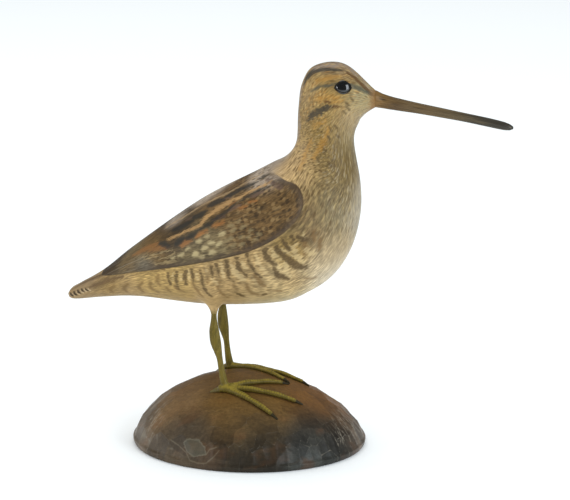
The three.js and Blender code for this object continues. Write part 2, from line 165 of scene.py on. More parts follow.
def keep_numbers(piece, name, values):
    """Keeps one number per point of a piece, for its finish to read."""
    numbers = piece.data.attributes.new(name, "FLOAT", "POINT")
    numbers.data.foreach_set("value", np.ascontiguousarray(values, np.float32))


def point_vectors(mesh, kind="co"):
    """The places of a mesh's points, or with kind "normal" the directions they face."""
    vectors = np.empty(len(mesh.vertices) * 3, np.float32)
    mesh.vertices.foreach_get(kind, vectors)
    return vectors.reshape(-1, 3)


def move_points(mesh, places):
    """Puts the points of a mesh at new places."""
    mesh.vertices.foreach_set("co", places.astype(np.float32).ravel())
    mesh.update()


def oval_rings(middles, across, up, half_across, half_up, sides):
    """Oval rings round middle points, each in the plane of its two directions."""
    angle = np.linspace(0, 2 * np.pi, sides, endpoint=False)
    wide = np.asarray(half_across)[:, None, None] * np.cos(angle)[None, :, None]
    high = np.asarray(half_up)[:, None, None] * np.sin(angle)[None, :, None]
    return middles[:, None, :] + wide * across[:, None, :] + high * up[:, None, :]


# %% [markdown]
# ## The bird's body
#
# The body, head, tail and folded wings of a decoy are carved from one block. A carver saws out
# the side view, then rounds it towards a few cross-sections. The same is done here. Each station
# is a cut through the wood: a point on the back, a point on the belly, how wide it is there, and
# at what height it is widest. Lengths are in hundredths of the bird's length, ahead of the tail
# tip and above the belly line, so the numbers read like a pattern drawn on squared paper. They
# were measured on a picture of the real bird and evened out by a least-squares fit. The real
# length and the place of the tail tip are measured on the solid model.

# %% The body's stations
STATIONS = [
    ("tail tip", (0.1, 2.1), (0.3, 1.3), 9, 0.5),
    ("end of the tail", (1.1, 3.5), (1.5, 0.5), 23, 0.5),
    ("tail bars", (3.9, 5.1), (4.3, 0.4), 30, 0.56),
    ("wing tips", (12, 10.1), (12.9, 1.3), 37, 0.59),
    ("rump", (22.6, 18.8), (24.4, 1.8), 50, 0.61),
    ("thighs", (43.8, 34.2), (47.5, 0.3), 86, 0.54),
    ("mid back", (62.3, 44.3), (69.9, 1.8), 100, 0.5),
    ("mantle", (67.6, 47.2), (80.3, 5.9), 97.5, 0.5),
    ("shoulders", (70.8, 48.8), (87.9, 11.8), 91, 0.5),
    ("wing fronts", (73.1, 50.8), (93.1, 20.5), 79, 0.5),
    ("breast", (74.7, 53.4), (95.6, 30.8), 67, 0.5),
    ("root of the neck", (75.4, 56.8), (95.6, 40.7), 56, 0.5),
    ("neck", (75.7, 65.2), (93.4, 54.8), 43.5, 0.5),
    ("nape", (76.9, 73.4), (95, 61.1), 42, 0.5),
    ("back of the crown", (80.8, 78.8), (96.5, 63.3), 42, 0.48),
    ("brow", (90, 79.5), (98, 64.6), 36, 0.46),
    ("root of the bill", (100.1, 71.3), (100.1, 65.9), 13, 0.5),
]
SECTION_POWER = 2.15
THIGH_DROP = 1.8
BODY_WIDTH = 58

body_low, body_high = (np.array(corner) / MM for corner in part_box("body"))
UNIT = (body_high[0] - body_low[0]) / (STATIONS[-1][1][0] - STATIONS[0][1][0])
TAIL_TIP = body_low[0] - STATIONS[0][1][0] * UNIT
BELLY_LEVEL = body_low[2] + THIGH_DROP
THIGH_END = body_low[2]


def side_place(along, above):
    """A place in side view, from hundredths of the bird's length to millimetres."""
    return np.array([TAIL_TIP + along * UNIT, 0, BELLY_LEVEL + above * UNIT])


BACK = [side_place(*station[1]) for station in STATIONS]
BELLY = [side_place(*station[2]) for station in STATIONS]
HALF_WIDTHS = [(half / 100 * BODY_WIDTH / 2, fullest) for *_, half, fullest in STATIONS]
print(f"the bird is {100 * UNIT:.1f} mm long, and its belly is {BELLY_LEVEL:.1f} mm up")

# %% [markdown]
# A point of the skin is found from its station and from how far round it lies. Between back and
# belly the cut follows a superellipse, an oval with slightly fuller shoulders. The stations are
# spaced evenly along the skin, and the points round each ring are denser on the flanks, where
# the finest painting will be.

# %% A point of the skin
def skin(station, turn):
    """Points of the plain skin. turn goes round from the back over the bird's left side."""
    station, turn = np.broadcast_arrays(np.asarray(station, float), turn)
    back = smooth_through(BACK, station.ravel())
    belly = smooth_through(BELLY, station.ravel())
    half, fullest = smooth_through(HALF_WIDTHS, station.ravel()).T
    cosine, sine = np.cos(turn.ravel()), np.sin(turn.ravel())
    power = 2 / SECTION_POWER
    upward = np.sign(cosine) * np.abs(cosine) ** power
    sideways = np.sign(sine) * np.abs(sine) ** power
    reach = np.where(upward > 0, 1 - fullest, fullest)
    points = belly + (back - belly) * (fullest + reach * upward)[:, None]
    points[:, 1] = half * sideways
    return points.reshape(*station.shape, 3)


def even_stations(count):
    """Stations an even distance apart, measured along the back and the belly together."""
    fine = np.linspace(0, 1, 4001)
    steps = sum(np.linalg.norm(np.diff(smooth_through(line, fine), axis=0), axis=1)
                for line in (BACK, BELLY))
    travelled = np.concatenate([[0], np.cumsum(steps)])
    return np.interp(np.linspace(0, travelled[-1], count), travelled, fine)


BODY_RINGS = 400
BODY_SIDES = 240
FLANK_DENSITY = 0.12

even = np.linspace(0, 2 * np.pi, BODY_SIDES, endpoint=False)
turns = even + FLANK_DENSITY * np.sin(2 * even)
stations = even_stations(BODY_RINGS)
body_rings = skin(stations[:, None], turns[None, :])
print("body skin:", body_rings.shape[0], "rings of", body_rings.shape[1], "points")

# %% [markdown]
# A bird's feathers lie in lines that run from the face down the neck, over the breast and back
# along the flanks, and a decoy painter's brush follows them. The lines of equal turn on this skin
# run just so. Two lengths are therefore kept for every point: how far it lies along such a line,
# and how far round. Strokes measured in them follow the feathers all over the bird. On the sides
# of the neck the feathers slant towards the nape, so there the lines are made to lean.

# %% Along the feathers and round the body
MEAN_RADIUS = 20.0
NECK_LEAN = 1.1

from_back = np.minimum(turns, 2 * np.pi - turns)
pieces_along = np.linalg.norm(np.diff(body_rings, axis=0), axis=-1)
feather_run = np.vstack([np.zeros(BODY_SIDES), np.cumsum(pieces_along, axis=0)])
station_number = stations * (len(STATIONS) - 1)
leaning = ease(station_number, 9.3, 11) * (1 - ease(station_number, 12.6, 14))
drift = np.concatenate([[0], np.cumsum(pieces_along.mean(axis=1) * leaning[1:])]) * NECK_LEAN
rounds = from_back[None, :] * MEAN_RADIUS - drift[:, None] * (1 - ease(from_back, 1.5, 3.0))
feather_flow = np.stack([feather_run, rounds, body_rings[..., 1]], -1)
print(f"the longest line of feathers runs {feather_run.max():.0f} mm")

# %% [markdown]
# ## The folded wings
#
# The wings are part of the block: the wood outside their edge is cut back a little, so the
# wings stand proud of the flank. Their outline is drawn in side view. For every point of the
# skin the distance to that outline is measured, positive inside, and this one number does two
# jobs. It raises the wing with a rounded edge here, and later it tells the paint where the wing
# ends. A fine line is cut in just outside the edge, as a knife would leave it. At the notch
# beside the neck the edge dies away into the back.

# %% Distance to the wing's edge
WING_EDGE = [
    (12, 9.3), (27.7, 13), (43, 16.8), (58.6, 21.2), (67, 24.8), (74, 29.5),
    (78.3, 34.6), (79, 39.2), (76.9, 43), (72.5, 44.4), (68.5, 46),
]
WING_OVER_BACK = [(64, 56), (30, 36), (10, 20)]


def away_from(places, line):
    """Distance to an open line in side view."""
    nearest = np.full(len(places), np.inf)
    for a, b in zip(line[:-1], line[1:]):
        edge = b - a
        share = np.clip((places - a) @ edge / (edge @ edge), 0, 1)
        away = np.linalg.norm(places - a - share[:, None] * edge, axis=1)
        nearest = np.minimum(nearest, away)
    return nearest


def inside_outline(places, outline):
    """Signed distance to a closed outline in side view, positive inside it."""
    closed = np.vstack([outline, outline[:1]])
    crossings = np.zeros(len(places), int)
    for a, b in zip(closed[:-1], closed[1:]):
        straddles = (a[1] > places[:, 1]) != (b[1] > places[:, 1])
        rise = b[1] - a[1] or 1
        crossing = a[0] + (places[:, 1] - a[1]) / rise * (b[0] - a[0])
        crossings += straddles & (places[:, 0] < crossing)
    away = away_from(places, closed)
    return np.where(crossings % 2 == 1, away, -away)


fair_edge = smooth_through(WING_EDGE, np.linspace(0, 1, 60))
wing_outline = np.vstack([fair_edge, WING_OVER_BACK]) * UNIT + [TAIL_TIP, BELLY_LEVEL]
seen_from_side = body_rings[..., [0, 2]].reshape(-1, 2)
wing_in = inside_outline(seen_from_side, wing_outline).reshape(BODY_RINGS, BODY_SIDES)
wing_rim = away_from(seen_from_side, wing_outline[:len(fair_edge)])
print(f"the wings cover {100 * np.mean(wing_in > 0):.0f} % of the skin's points")

# %% Raise the wings
WING_RELIEF = 1.4
EDGE_CUT = 0.25

proud = WING_RELIEF * np.maximum(1.25 * ease(from_back, 0.1, 0.9) - 0.25, 0)
notch = np.array([65.5, 46.5]) * UNIT + [TAIL_TIP, BELLY_LEVEL]
near_notch = 1 - ease(np.linalg.norm(seen_from_side - notch, axis=1), 3, 9).reshape(wing_in.shape)
raised = proud[None, :] * ease(wing_in, -0.5, 1.0 + 6 * near_notch)
knife_line = EDGE_CUT * ease(wing_in, -1.5, -0.5) * (1 - ease(wing_in, -0.4, 0.2))
knife_line *= ease(from_back, 0.3, 0.8)[None, :] * (1 - near_notch)
outward_side = np.sign(np.sin(turns))[None, :]
body_rings[..., 1] += outward_side * (raised - knife_line)

# %% [markdown]
# ## Thighs and eyelids
#
# Under the belly the wood runs down into two short thighs. The skin is pulled down along the
# same flaring curve that the solid thigh has, and joined with a soft fillet. The last few
# millimetres are a small sleeve of their own, because the body's rings are too coarse there.
# Round each eye the skin is moved to the height of the glass, and a thin roll of putty, made as
# a ring of its own, forms the lids. It's a little thicker below.

# %% The thighs' flaring curve
LEG_THICKNESS = 2.9
LEG_TOP_SETBACK = 14.8
LEG_TOP_STAGGER = 0.3
LEG_TOP_SPACING = 27
THIGH_ROOT = 10.4
THIGH_FLARE = 7
THIGH_NARROWNESS = 0.85
THIGH_CURVE = 1.6
THIGH_FILLET = 3.4
SLEEVE_RADIUS = 2.5


def thigh_height(radius):
    """Height of the thigh's skin at a distance from its middle line."""
    share = np.maximum(2 * radius - LEG_THICKNESS, 0) / (THIGH_ROOT - LEG_THICKNESS)
    return THIGH_END + THIGH_FLARE * share ** (1 / THIGH_CURVE)


def soft_lowest(a, b, blend):
    """The lower of two heights, with a fillet where they meet."""
    share = np.clip(0.5 + 0.5 * (b - a) / blend, 0, 1)
    return b + (a - b) * share - blend * share * (1 - share)


for side in (1, -1):
    ahead = body_rings[..., 0] + LEG_TOP_SETBACK - side * LEG_TOP_STAGGER
    aside = (body_rings[..., 1] - side * LEG_TOP_SPACING / 2) / THIGH_NARROWNESS
    radius = np.maximum(np.hypot(ahead, aside), SLEEVE_RADIUS)
    pulled = soft_lowest(body_rings[..., 2], thigh_height(radius), THIGH_FILLET)
    underside = body_rings[..., 2] < BELLY_LEVEL + 12 * UNIT
    near = 1 - ease(radius, 8, 12.5)
    body_rings[..., 2] += np.where(underside, near * (pulled - body_rings[..., 2]), 0)


def thigh_sleeve(side):
    """Rings of the sleeve from the thigh's end up into the body."""
    share = np.linspace(0, 0.55, 12)
    radius = (LEG_THICKNESS + (THIGH_ROOT - LEG_THICKNESS) * share ** THIGH_CURVE) / 2
    radius = np.concatenate([radius * 1.012, [radius[-1] * 0.7]])
    height = THIGH_END + THIGH_FLARE * np.concatenate([share, [share[-1] + 0.1]])
    count = len(height)
    middles = np.stack([np.full(count, side * LEG_TOP_STAGGER - LEG_TOP_SETBACK),
                        np.full(count, side * LEG_TOP_SPACING / 2), height], -1)
    ahead = np.tile([1.0, 0, 0], (count, 1))
    left = np.tile([0, 1.0, 0], (count, 1))
    return oval_rings(middles, ahead, left, radius, radius * THIGH_NARROWNESS, 32)


# %% The eyes' seats
EYE_STATION = 0.911
EYE_TURN = math.radians(78)
EYE_DIAMETER = 6.6
EYE_BULGE = 1.3
EYE_DEPTH = 2.4
OPENING_LENGTH = 6.6
OPENING_HEIGHT = 5.0
CORNER_TAPER = 0.2
LID_REACH = 2.6

head_place = skin(EYE_STATION, EYE_TURN)
along_head = skin(EYE_STATION + 0.01, EYE_TURN) - skin(EYE_STATION - 0.01, EYE_TURN)
round_head = skin(EYE_STATION, EYE_TURN + 0.01) - skin(EYE_STATION, EYE_TURN - 0.01)
eye_outward = np.cross(along_head, round_head)
eye_outward *= np.sign(eye_outward[1]) / np.linalg.norm(eye_outward)
eye_upward = np.array([0, 0, 1]) - eye_outward * eye_outward[2]
eye_upward /= np.linalg.norm(eye_upward)
eye_ahead = np.cross(eye_outward, eye_upward)
flip = np.array([1, -1, 1])


def glass_height(away):
    """How far the dome of glass stands out at a distance from its middle."""
    return EYE_BULGE * np.sqrt(np.maximum(1 - (2 * away / EYE_DIAMETER) ** 2, 0))


def beside_eye(points):
    """Places of points in the eye's own directions: ahead, up and outward."""
    offset = points - head_place
    return offset @ eye_ahead, offset @ eye_upward, offset @ eye_outward


def outside_lids(ahead, up):
    """Distance outside the almond between the lids, about right near its edge."""
    taper = 1 - CORNER_TAPER * np.clip(-2 * ahead / OPENING_LENGTH, 0, 1)
    share = np.hypot(2 * ahead / OPENING_LENGTH, 2 * up / OPENING_HEIGHT / taper)
    return (share - 1) * OPENING_HEIGHT / 2


for sign in (1, -1):
    ahead, up, height = beside_eye(body_rings * [1, sign, 1])
    lids = outside_lids(ahead, up)
    same_side = body_rings[..., 1] * sign > 0
    target = np.where(lids < 0, -0.6, glass_height(np.hypot(ahead, up)))
    shift = np.where(same_side, (1 - ease(lids, 0.3, LID_REACH)) * (target - height), 0)
    body_rings += shift[..., None] * (eye_outward * [1, sign, 1])
print("each eye looks out along", np.round(eye_outward, 2))

# %% The eyelids
LID_PROFILE = [(-0.3, -0.9), (-0.12, 0.0), (0, 0.06), (0.12, 0.08), (0.24, 0.02), (0.34, -0.2),
               (0.42, -1.2)]
LOWER_LID = 1.4


def lid_rings(sign):
    """Rings of one eyelid: a thin roll round the opening that dives into the skin."""
    angle = np.linspace(0, 2 * np.pi, 72, endpoint=False)
    rings = []
    for outward, lift in LID_PROFILE:
        swell = np.where(np.sin(angle) < 0, LOWER_LID, 1) if outward > 0 else 1
        ahead = (OPENING_LENGTH / 2 + outward) * np.cos(angle)
        up = (OPENING_HEIGHT / 2 + outward * swell) * np.sin(angle)
        up *= 1 - CORNER_TAPER * np.clip(-np.cos(angle), 0, 1)
        height = glass_height(np.hypot(ahead, up)) + lift
        ring = head_place + np.stack([ahead, up, height], -1) @ [eye_ahead, eye_upward, eye_outward]
        rings.append(ring * [1, sign, 1])
    return np.array(rings)


# %% Put the body together
body, bird = make_piece("carved_body", [body_rings, thigh_sleeve(1), thigh_sleeve(-1),
                                        lid_rings(1), lid_rings(-1)])
grid_points = BODY_RINGS * BODY_SIDES

# %% [markdown]
# ## Laying on paint
#
# On the real decoy each mark is one or two strokes of a small brush. Here a stroke is a smooth
# line over the skin, given by a few points in side view, with a half width at each. What is
# stored at every point of the mesh isn't a colour but a distance: how far inside the stroke the
# point lies. The material turns that into a crisp edge afterwards, at any zoom, and can fray it
# with noise as bristles do. The places were picked on a picture of the real bird and
# turned into this measure. The far side can't be seen there, so it gets the same strokes.

# %% Strokes of the brush
FAR = -4.0
mirrored = bird.copy()
mirrored[:, 1] = np.abs(mirrored[:, 1])
side_view = (mirrored[:, [0, 2]] - [TAIL_TIP, BELLY_LEVEL]) / UNIT
left_side = np.flatnonzero(bird[:grid_points, 1] >= -0.01)


def on_skin(along, above):
    """The point of the bird's left side nearest to a place in side view."""
    gap = np.linalg.norm(side_view[left_side] - [along, above], axis=1)
    return mirrored[left_side[gap.argmin()]]


def stroke(points, half_widths, steps=10):
    """How far each point lies inside a stroke of the brush, in millimetres."""
    spots = [on_skin(*point) for point in points]
    shares = np.linspace(0, 1, steps * (len(points) - 1) + 1)
    line = smooth_through(spots, shares) if len(points) > 2 else (
        np.outer(1 - shares, spots[0]) + np.outer(shares, spots[1]))
    knots = np.linspace(0, 1, len(half_widths))
    half = np.interp(shares, knots, half_widths)
    reach = np.ptp(line, axis=0).max() / 2 + max(half_widths) - FAR
    close = np.flatnonzero(np.abs(mirrored - (line.min(0) + line.max(0)) / 2).max(1) < reach)
    inside = np.full(len(bird), FAR)
    for a, b, wide_a, wide_b in zip(line[:-1], line[1:], half[:-1], half[1:]):
        span = b - a
        share = np.clip((mirrored[close] - a) @ span / max(span @ span, 1e-9), 0, 1)
        away = np.linalg.norm(mirrored[close] - a - share[:, None] * span, axis=1)
        inside[close] = np.maximum(inside[close], wide_a + (wide_b - wide_a) * share - away)
    return inside


def store_strokes(name, strokes):
    """Keeps the distance inside the nearest of several strokes."""
    keep_numbers(body, name, np.max([stroke(*mark) for mark in strokes], axis=0))
    print(f"{name}: {len(strokes)} strokes")


# %% [markdown]
# The head's markings come first: the dark band along the crown, the line through the eye and the
# patch low on the cheek.

# %% Markings of the head
store_strokes("head_marks", [
    ([(79.4, 62.7), (80.9, 64.3), (82.9, 65.7), (85.2, 66.7), (88.0, 67.4)],
     [0.5, 1.4, 1.7, 1.5, 0.3]),
    ([(78.1, 74.2), (79.4, 76.4), (81.8, 77.9), (84.5, 78.5), (87.2, 78.5), (89.7, 78.3)],
     [1.2, 1.7, 1.5, 1.2, 1.0, 0.6]),
])
store_strokes("brown_lines", [
    ([(91.6, 77.6), (94.5, 75.4), (96.9, 72.9), (98.9, 70.7)], [0.7, 1.3, 1.3, 0.8]),
    ([(87.8, 67.4), (90.4, 67.1)], [0.5, 0.3]),
    ([(84.8, 68.9), (86.6, 68.6)], [0.3, 0.4]),
])
store_strokes("grey_marks", [
    ([(92.7, 73.9), (95.2, 72.9), (97.7, 71.5), (99.7, 70.2)], [1.3, 1.2, 1.0, 0.7]),
    ([(80.4, 71.7), (82.1, 72.8), (84.1, 73.6), (86.5, 74.0), (88.6, 74.1)],
     [0.3, 0.55, 0.65, 0.75, 1.1]),
])
store_strokes("ochre_touches", [
    ([(82.6, 75.2), (86.4, 76.3), (89.6, 76.5)], [0.8, 1.5, 0.8]),
    ([(80.2, 69.3), (85.0, 70.1), (89.0, 70.2)], [0.9, 1.6, 1.0]),
    ([(86.6, 68.6), (90.1, 69.0)], [0.7, 0.7]),
    ([(81.5, 61.0), (84.5, 62.5)], [0.8, 0.9]),
    ([(86.0, 60.5), (84.4, 56.0), (81.8, 51.5)], [0.8, 1.9, 0.9]),
    ([(80.6, 56.5), (79.0, 52.0), (77.2, 47.5)], [0.7, 1.4, 0.8]),
])
store_strokes("crown", [
    ([(80.2, 77.4), (83.5, 79.3), (86.9, 79.9), (90.6, 79.2), (94.0, 76.9)],
     [1.5, 3.2, 3.4, 3.0, 1.6]),
    ([(92.5, 78.3), (95.2, 76.3), (97.6, 73.3), (99.6, 70.9)], [1.8, 1.6, 1.3, 0.7]),
    ([(79.3, 76.8), (77.0, 72.0), (76.2, 66.0), (76.6, 60.0), (75.4, 55.0)],
     [1.5, 0.9, 0.7, 0.7, 0.5]),
])
DARK_DOTS = [(92.0, 68.3), (92.3, 66.6), (93.5, 69.8), (91.3, 65.6), (88.6, 60.8), (89.1, 57.9),
             (87.0, 60.0), (86.4, 57.7), (85.3, 53.8), (83.2, 50.7), (86.9, 49.2)]
store_strokes("dark_dots", [
    ([(along - 0.6, above + 0.5), (along + 0.2, above - 0.5)], [0.45, 0.6])
    for along, above in DARK_DOTS
])

# %% [markdown]
# Below the wing the flank is barred. The bars hang from the wing's edge and curve forward as
# they go down; the front ones are broad and slant, the rear ones are short and fine. Paler
# touches lie between them, and faint brown arcs below.

# %% Bars of the flank
store_strokes("flank_bars", [
    ([(35.5, 13.4), (35.2, 11.3), (35.9, 9.3)], [0.4, 0.56, 0.35]),
    ([(38.4, 13.8), (38.0, 11.8), (38.2, 9.7), (38.7, 7.7)], [0.48, 0.8, 0.64, 0.35]),
    ([(41.4, 14.5), (41.1, 12.7), (41.2, 11.4), (41.4, 9.8)], [0.56, 0.96, 0.8, 0.48]),
    ([(43.4, 15.1), (43.6, 13.1), (43.8, 11.2)], [0.64, 0.72, 0.4]),
    ([(46.1, 15.0), (46.8, 12.7), (46.8, 10.7), (47.2, 9.3), (48.1, 7.7), (49.5, 6.1)],
     [0.35, 0.48, 0.88, 0.8, 0.64, 0.4]),
    ([(49.8, 16.9), (50.2, 15.3), (50.2, 13.4)], [0.72, 0.64, 0.56]),
    ([(51.7, 17.5), (52.2, 15.9), (52.4, 13.7)], [0.48, 0.56, 0.35]),
    ([(55.1, 18.8), (55.3, 17.0), (55.6, 15.0), (55.8, 13.3), (57.0, 12.1)],
     [0.96, 1.04, 0.88, 0.64, 0.4]),
    ([(58.3, 19.9), (58.6, 18.3), (59.0, 16.6), (60.4, 15.2), (61.5, 14.0)],
     [0.72, 0.8, 0.8, 0.64, 0.4]),
    ([(61.7, 21.9), (61.9, 20.1), (62.2, 18.5), (63.2, 17.4), (63.6, 16.2), (64.7, 14.9),
      (65.8, 14.1)], [0.8, 0.56, 0.64, 0.72, 0.64, 0.56, 0.4]),
    ([(67.5, 23.7), (67.4, 22.7), (68.0, 21.3), (68.6, 20.3), (69.4, 19.4), (70.6, 18.5)],
     [0.9, 1.3, 1.4, 1.3, 1.0, 0.6]),
    ([(70.9, 24.4), (71.6, 23.1), (72.6, 21.8), (73.8, 20.8), (75.3, 19.6), (76.8, 18.1),
      (78.3, 17.3), (80.1, 17.2)], [1.0, 1.2, 1.1, 1.3, 1.7, 1.7, 1.4, 0.8]),
    ([(70.3, 17.4), (70.6, 16.0), (71.4, 14.6), (72.9, 13.8), (74.5, 13.2)],
     [0.7, 1.2, 1.6, 1.4, 0.6]),
    ([(73.1, 26.4), (74.0, 24.8), (75.1, 23.6)], [0.8, 0.8, 0.9]),
    ([(75.6, 27.5), (76.2, 26.9)], [0.7, 0.6]),
    ([(77.5, 27.5), (78.8, 27.0), (80.0, 26.4), (81.2, 26.8)], [0.6, 0.9, 0.8, 0.4]),
    ([(57.0, 7.8), (58.7, 6.8), (59.5, 6.2)], [0.35, 0.56, 0.35]),
    ([(66.0, 7.0), (67.1, 7.6)], [0.56, 0.56]),
])
store_strokes("flank_lights", [
    ([(69.8, 23.0), (70.6, 21.8), (72.2, 20.4)], [1.0, 1.6, 0.8]),
    ([(72.6, 23.6), (74.1, 22.7), (75.9, 21.4)], [1.0, 1.3, 1.0]),
    ([(75.5, 24.6), (76.6, 22.7), (77.4, 20.6), (79.8, 18.7)], [1.0, 1.6, 1.8, 1.0]),
    ([(73.7, 19.0), (73.8, 17.3), (73.9, 15.6), (74.5, 14.0)], [1.2, 1.8, 1.8, 1.0]),
    ([(71.2, 17.8), (72.2, 16.6)], [1.0, 1.0]),
    ([(64.6, 21.6), (65.4, 18.6), (67.2, 16.2)], [0.9, 1.4, 1.0]),
    ([(56.5, 17.5), (57.8, 15.4), (59.5, 13.4)], [1.2, 2.1, 1.8]),
    ([(53.4, 18.2), (53.4, 15.9), (53.7, 13.7)], [0.7, 1.0, 0.7]),
    ([(59.9, 19.5), (60.7, 17.6), (61.9, 16.0)], [0.7, 0.9, 0.7]),
    ([(39.7, 13.7), (39.7, 11.2)], [0.8, 1.0]),
    ([(37.1, 13.4), (36.8, 10.8)], [0.6, 0.8]),
    ([(42.5, 14.4), (42.5, 11.9)], [0.9, 0.9]),
    ([(44.9, 14.6), (45.2, 12.1)], [0.6, 0.7]),
    ([(48.3, 16.2), (48.6, 13.6)], [0.6, 0.7]),
    ([(50.4, 12.1), (51.8, 10.9)], [0.8, 0.8]),
    ([(63.2, 13.7), (64.6, 11.4)], [0.8, 0.8]),
    ([(79.4, 28.7), (79.7, 27.5)], [0.9, 0.9]),
    ([(76.2, 25.8), (76.7, 25.3)], [0.9, 0.9]),
    ([(80.2, 22.9), (82.4, 21.7)], [1.2, 1.2]),
    ([(78.2, 15.6), (80.0, 14.7), (81.9, 15.7)], [0.8, 1.0, 0.8]),
])
store_strokes("faint_bars", [
    ([(52.9, 12.4), (51.9, 9.7), (52.7, 7.4), (54.5, 5.5)], [0.6, 0.7, 0.7, 0.5]),
    ([(61.3, 10.9), (61.9, 8.6), (64.2, 7.0)], [0.7, 1.0, 0.5]),
    ([(64.1, 14.4), (65.5, 12.1), (66.8, 10.7)], [1.2, 1.8, 1.0]),
    ([(67.8, 8.9), (69.9, 9.0), (71.9, 8.6)], [0.5, 0.6, 0.4]),
    ([(79.0, 13.4), (80.8, 12.7), (82.9, 13.0)], [0.4, 0.7, 0.4]),
    ([(82.3, 28.7), (82.6, 26.4)], [1.0, 1.0]),
    ([(84.5, 25.8), (84.2, 23.2)], [1.1, 0.8]),
    ([(79.4, 25.6), (80.0, 23.5), (79.7, 21.8)], [1.2, 1.0, 0.7]),
    ([(37.5, 8.7), (38.5, 7.3), (40.1, 6.7)], [0.8, 0.9, 0.5]),
    ([(32.0, 11.8), (31.4, 9.9), (32.3, 8.5)], [0.7, 0.9, 0.5]),
    ([(29.1, 8.8), (29.2, 7.0), (31.1, 5.6)], [0.6, 0.9, 0.5]),
    ([(47.9, 16.1), (48.5, 13.1), (48.4, 11.3)], [0.4, 0.6, 0.5]),
    ([(26.3, 8.6), (25.1, 6.9), (26.3, 5.0)], [0.6, 0.9, 0.5]),
    ([(21.4, 7.7), (20.0, 6.1), (20.7, 4.5)], [0.6, 0.9, 0.4]),
    ([(16.7, 6.6), (15.2, 5.4), (16.1, 4.2)], [0.5, 0.8, 0.4]),
    ([(43.7, 10.2), (44.6, 8.4), (46.6, 5.7)], [0.5, 0.8, 0.5]),
    ([(34.2, 7.9), (35.7, 6.2)], [0.7, 0.7]),
    ([(56.6, 10.8), (57.6, 9.2)], [0.6, 0.6]),
])

# %% [markdown]
# The wing's long feathers are edged with ochre. Above the broad stripe a thin pale line and a
# row of dark blotches run along the shoulder, and below it come darker and rusty touches.

# %% Stripes and blotches of the wing
store_strokes("thin_pale_line", [
    ([(64.9, 44.7), (61.0, 42.7), (57.9, 40.8), (54.7, 39.0), (51.4, 37.4), (48.3, 35.7),
      (45.0, 33.7), (41.7, 31.5), (39.1, 30.0), (36.6, 28.2), (33.9, 26.4)],
     [0.5, 0.6, 0.6, 0.9, 1.0, 1.0, 0.8, 0.9, 0.9, 0.8, 0.7]),
])
store_strokes("ochre_stripe", [
    ([(35.5, 23.8), (37.5, 25.0), (40.0, 26.3), (42.6, 27.7), (45.1, 28.9), (46.4, 29.9),
      (47.8, 31.7), (49.3, 33.0), (51.8, 34.6), (53.9, 36.2), (56.3, 37.3), (58.9, 38.5),
      (61.4, 40.0), (64.0, 41.3), (66.5, 42.6), (68.7, 43.8)],
     [0.8, 0.8, 0.8, 0.9, 1.0, 1.3, 1.4, 1.2, 1.7, 1.8, 1.3, 1.1, 1.0, 0.9, 0.8, 0.4]),
])
store_strokes("thin_edges", [
    ([(37.0, 21.3), (31.5, 19.0), (26.8, 17.4)], [0.5, 0.5, 0.3]),
    ([(38.0, 20.2), (35.2, 18.6), (32.5, 17.4)], [0.5, 0.4, 0.3]),
    ([(32.9, 18.5), (30.1, 17.8), (27.3, 16.8)], [0.3, 0.4, 0.3]),
    ([(38.2, 17.9), (34.8, 16.9), (31.2, 15.8)], [0.8, 0.9, 0.4]),
])
store_strokes("slate_blotches", [
    ([(56.8, 39.8), (59.1, 40.7), (61.3, 41.7), (63.6, 42.8)], [0.8, 1.4, 1.4, 0.7]),
    ([(53.7, 37.7), (55.6, 38.7), (57.9, 39.7)], [0.8, 1.6, 0.9]),
    ([(48.0, 34.6), (49.5, 35.3), (51.1, 36.1), (53.1, 37.0)], [0.8, 1.9, 2.0, 0.9]),
    ([(43.4, 31.0), (45.6, 32.0), (47.4, 33.2)], [1.1, 2.0, 1.1]),
    ([(36.8, 26.6), (38.6, 27.4), (40.7, 28.7), (43.1, 30.0)], [1.1, 1.7, 1.6, 0.9]),
    ([(32.5, 22.2), (34.1, 22.2), (35.7, 21.9)], [0.8, 1.4, 1.0]),
    ([(64.5, 43.6), (66.1, 44.5), (67.6, 45.4)], [0.6, 1.0, 0.6]),
    ([(47.6, 29.3), (49.0, 30.0), (50.3, 30.9)], [0.8, 1.2, 0.6]),
    ([(41.6, 24.9), (43.2, 26.1), (45.2, 27.5)], [0.8, 1.4, 0.8]),
    ([(38.2, 23.1), (39.4, 23.9), (40.9, 24.9)], [1.0, 1.4, 0.8]),
    ([(44.5, 27.9), (46.1, 28.3), (47.4, 28.9)], [0.5, 0.9, 0.5]),
    ([(67.0, 42.1), (63.7, 40.6), (60.6, 38.7), (57.6, 37.1)], [0.5, 0.6, 0.6, 0.5]),
    ([(57.6, 37.1), (55.3, 34.8), (53.2, 33.2), (50.2, 31.7)], [0.5, 0.6, 1.0, 0.8]),
])
store_strokes("purple_touches", [
    ([(50.3, 31.3), (51.9, 32.1), (53.9, 33.3)], [0.8, 1.3, 0.8]),
    ([(55.3, 34.5), (57.0, 35.4), (59.2, 36.4)], [0.8, 1.2, 0.8]),
    ([(62.0, 38.8), (63.9, 39.7), (65.7, 40.8)], [0.8, 1.2, 0.9]),
    ([(53.3, 37.2), (55.5, 38.0)], [0.8, 0.8]),
    ([(40.9, 29.7), (42.7, 30.8)], [0.7, 0.8]),
    ([(66.8, 44.0), (71.5, 42.4)], [1.2, 1.6]),
])
store_strokes("orange_touches", [
    ([(44.9, 25.9), (46.4, 26.9), (48.5, 28.2)], [1.0, 1.4, 0.8]),
    ([(40.3, 22.9), (42.0, 24.1), (43.4, 24.9)], [1.2, 1.6, 0.8]),
    ([(50.5, 29.6), (52.1, 30.4), (53.9, 31.1)], [1.0, 1.3, 0.9]),
    ([(62.0, 37.5), (64.0, 38.2)], [0.9, 0.8]),
    ([(58.9, 35.4), (60.9, 36.5)], [0.8, 0.7]),
    ([(55.3, 36.1), (57.6, 37.2)], [0.4, 0.5]),
])
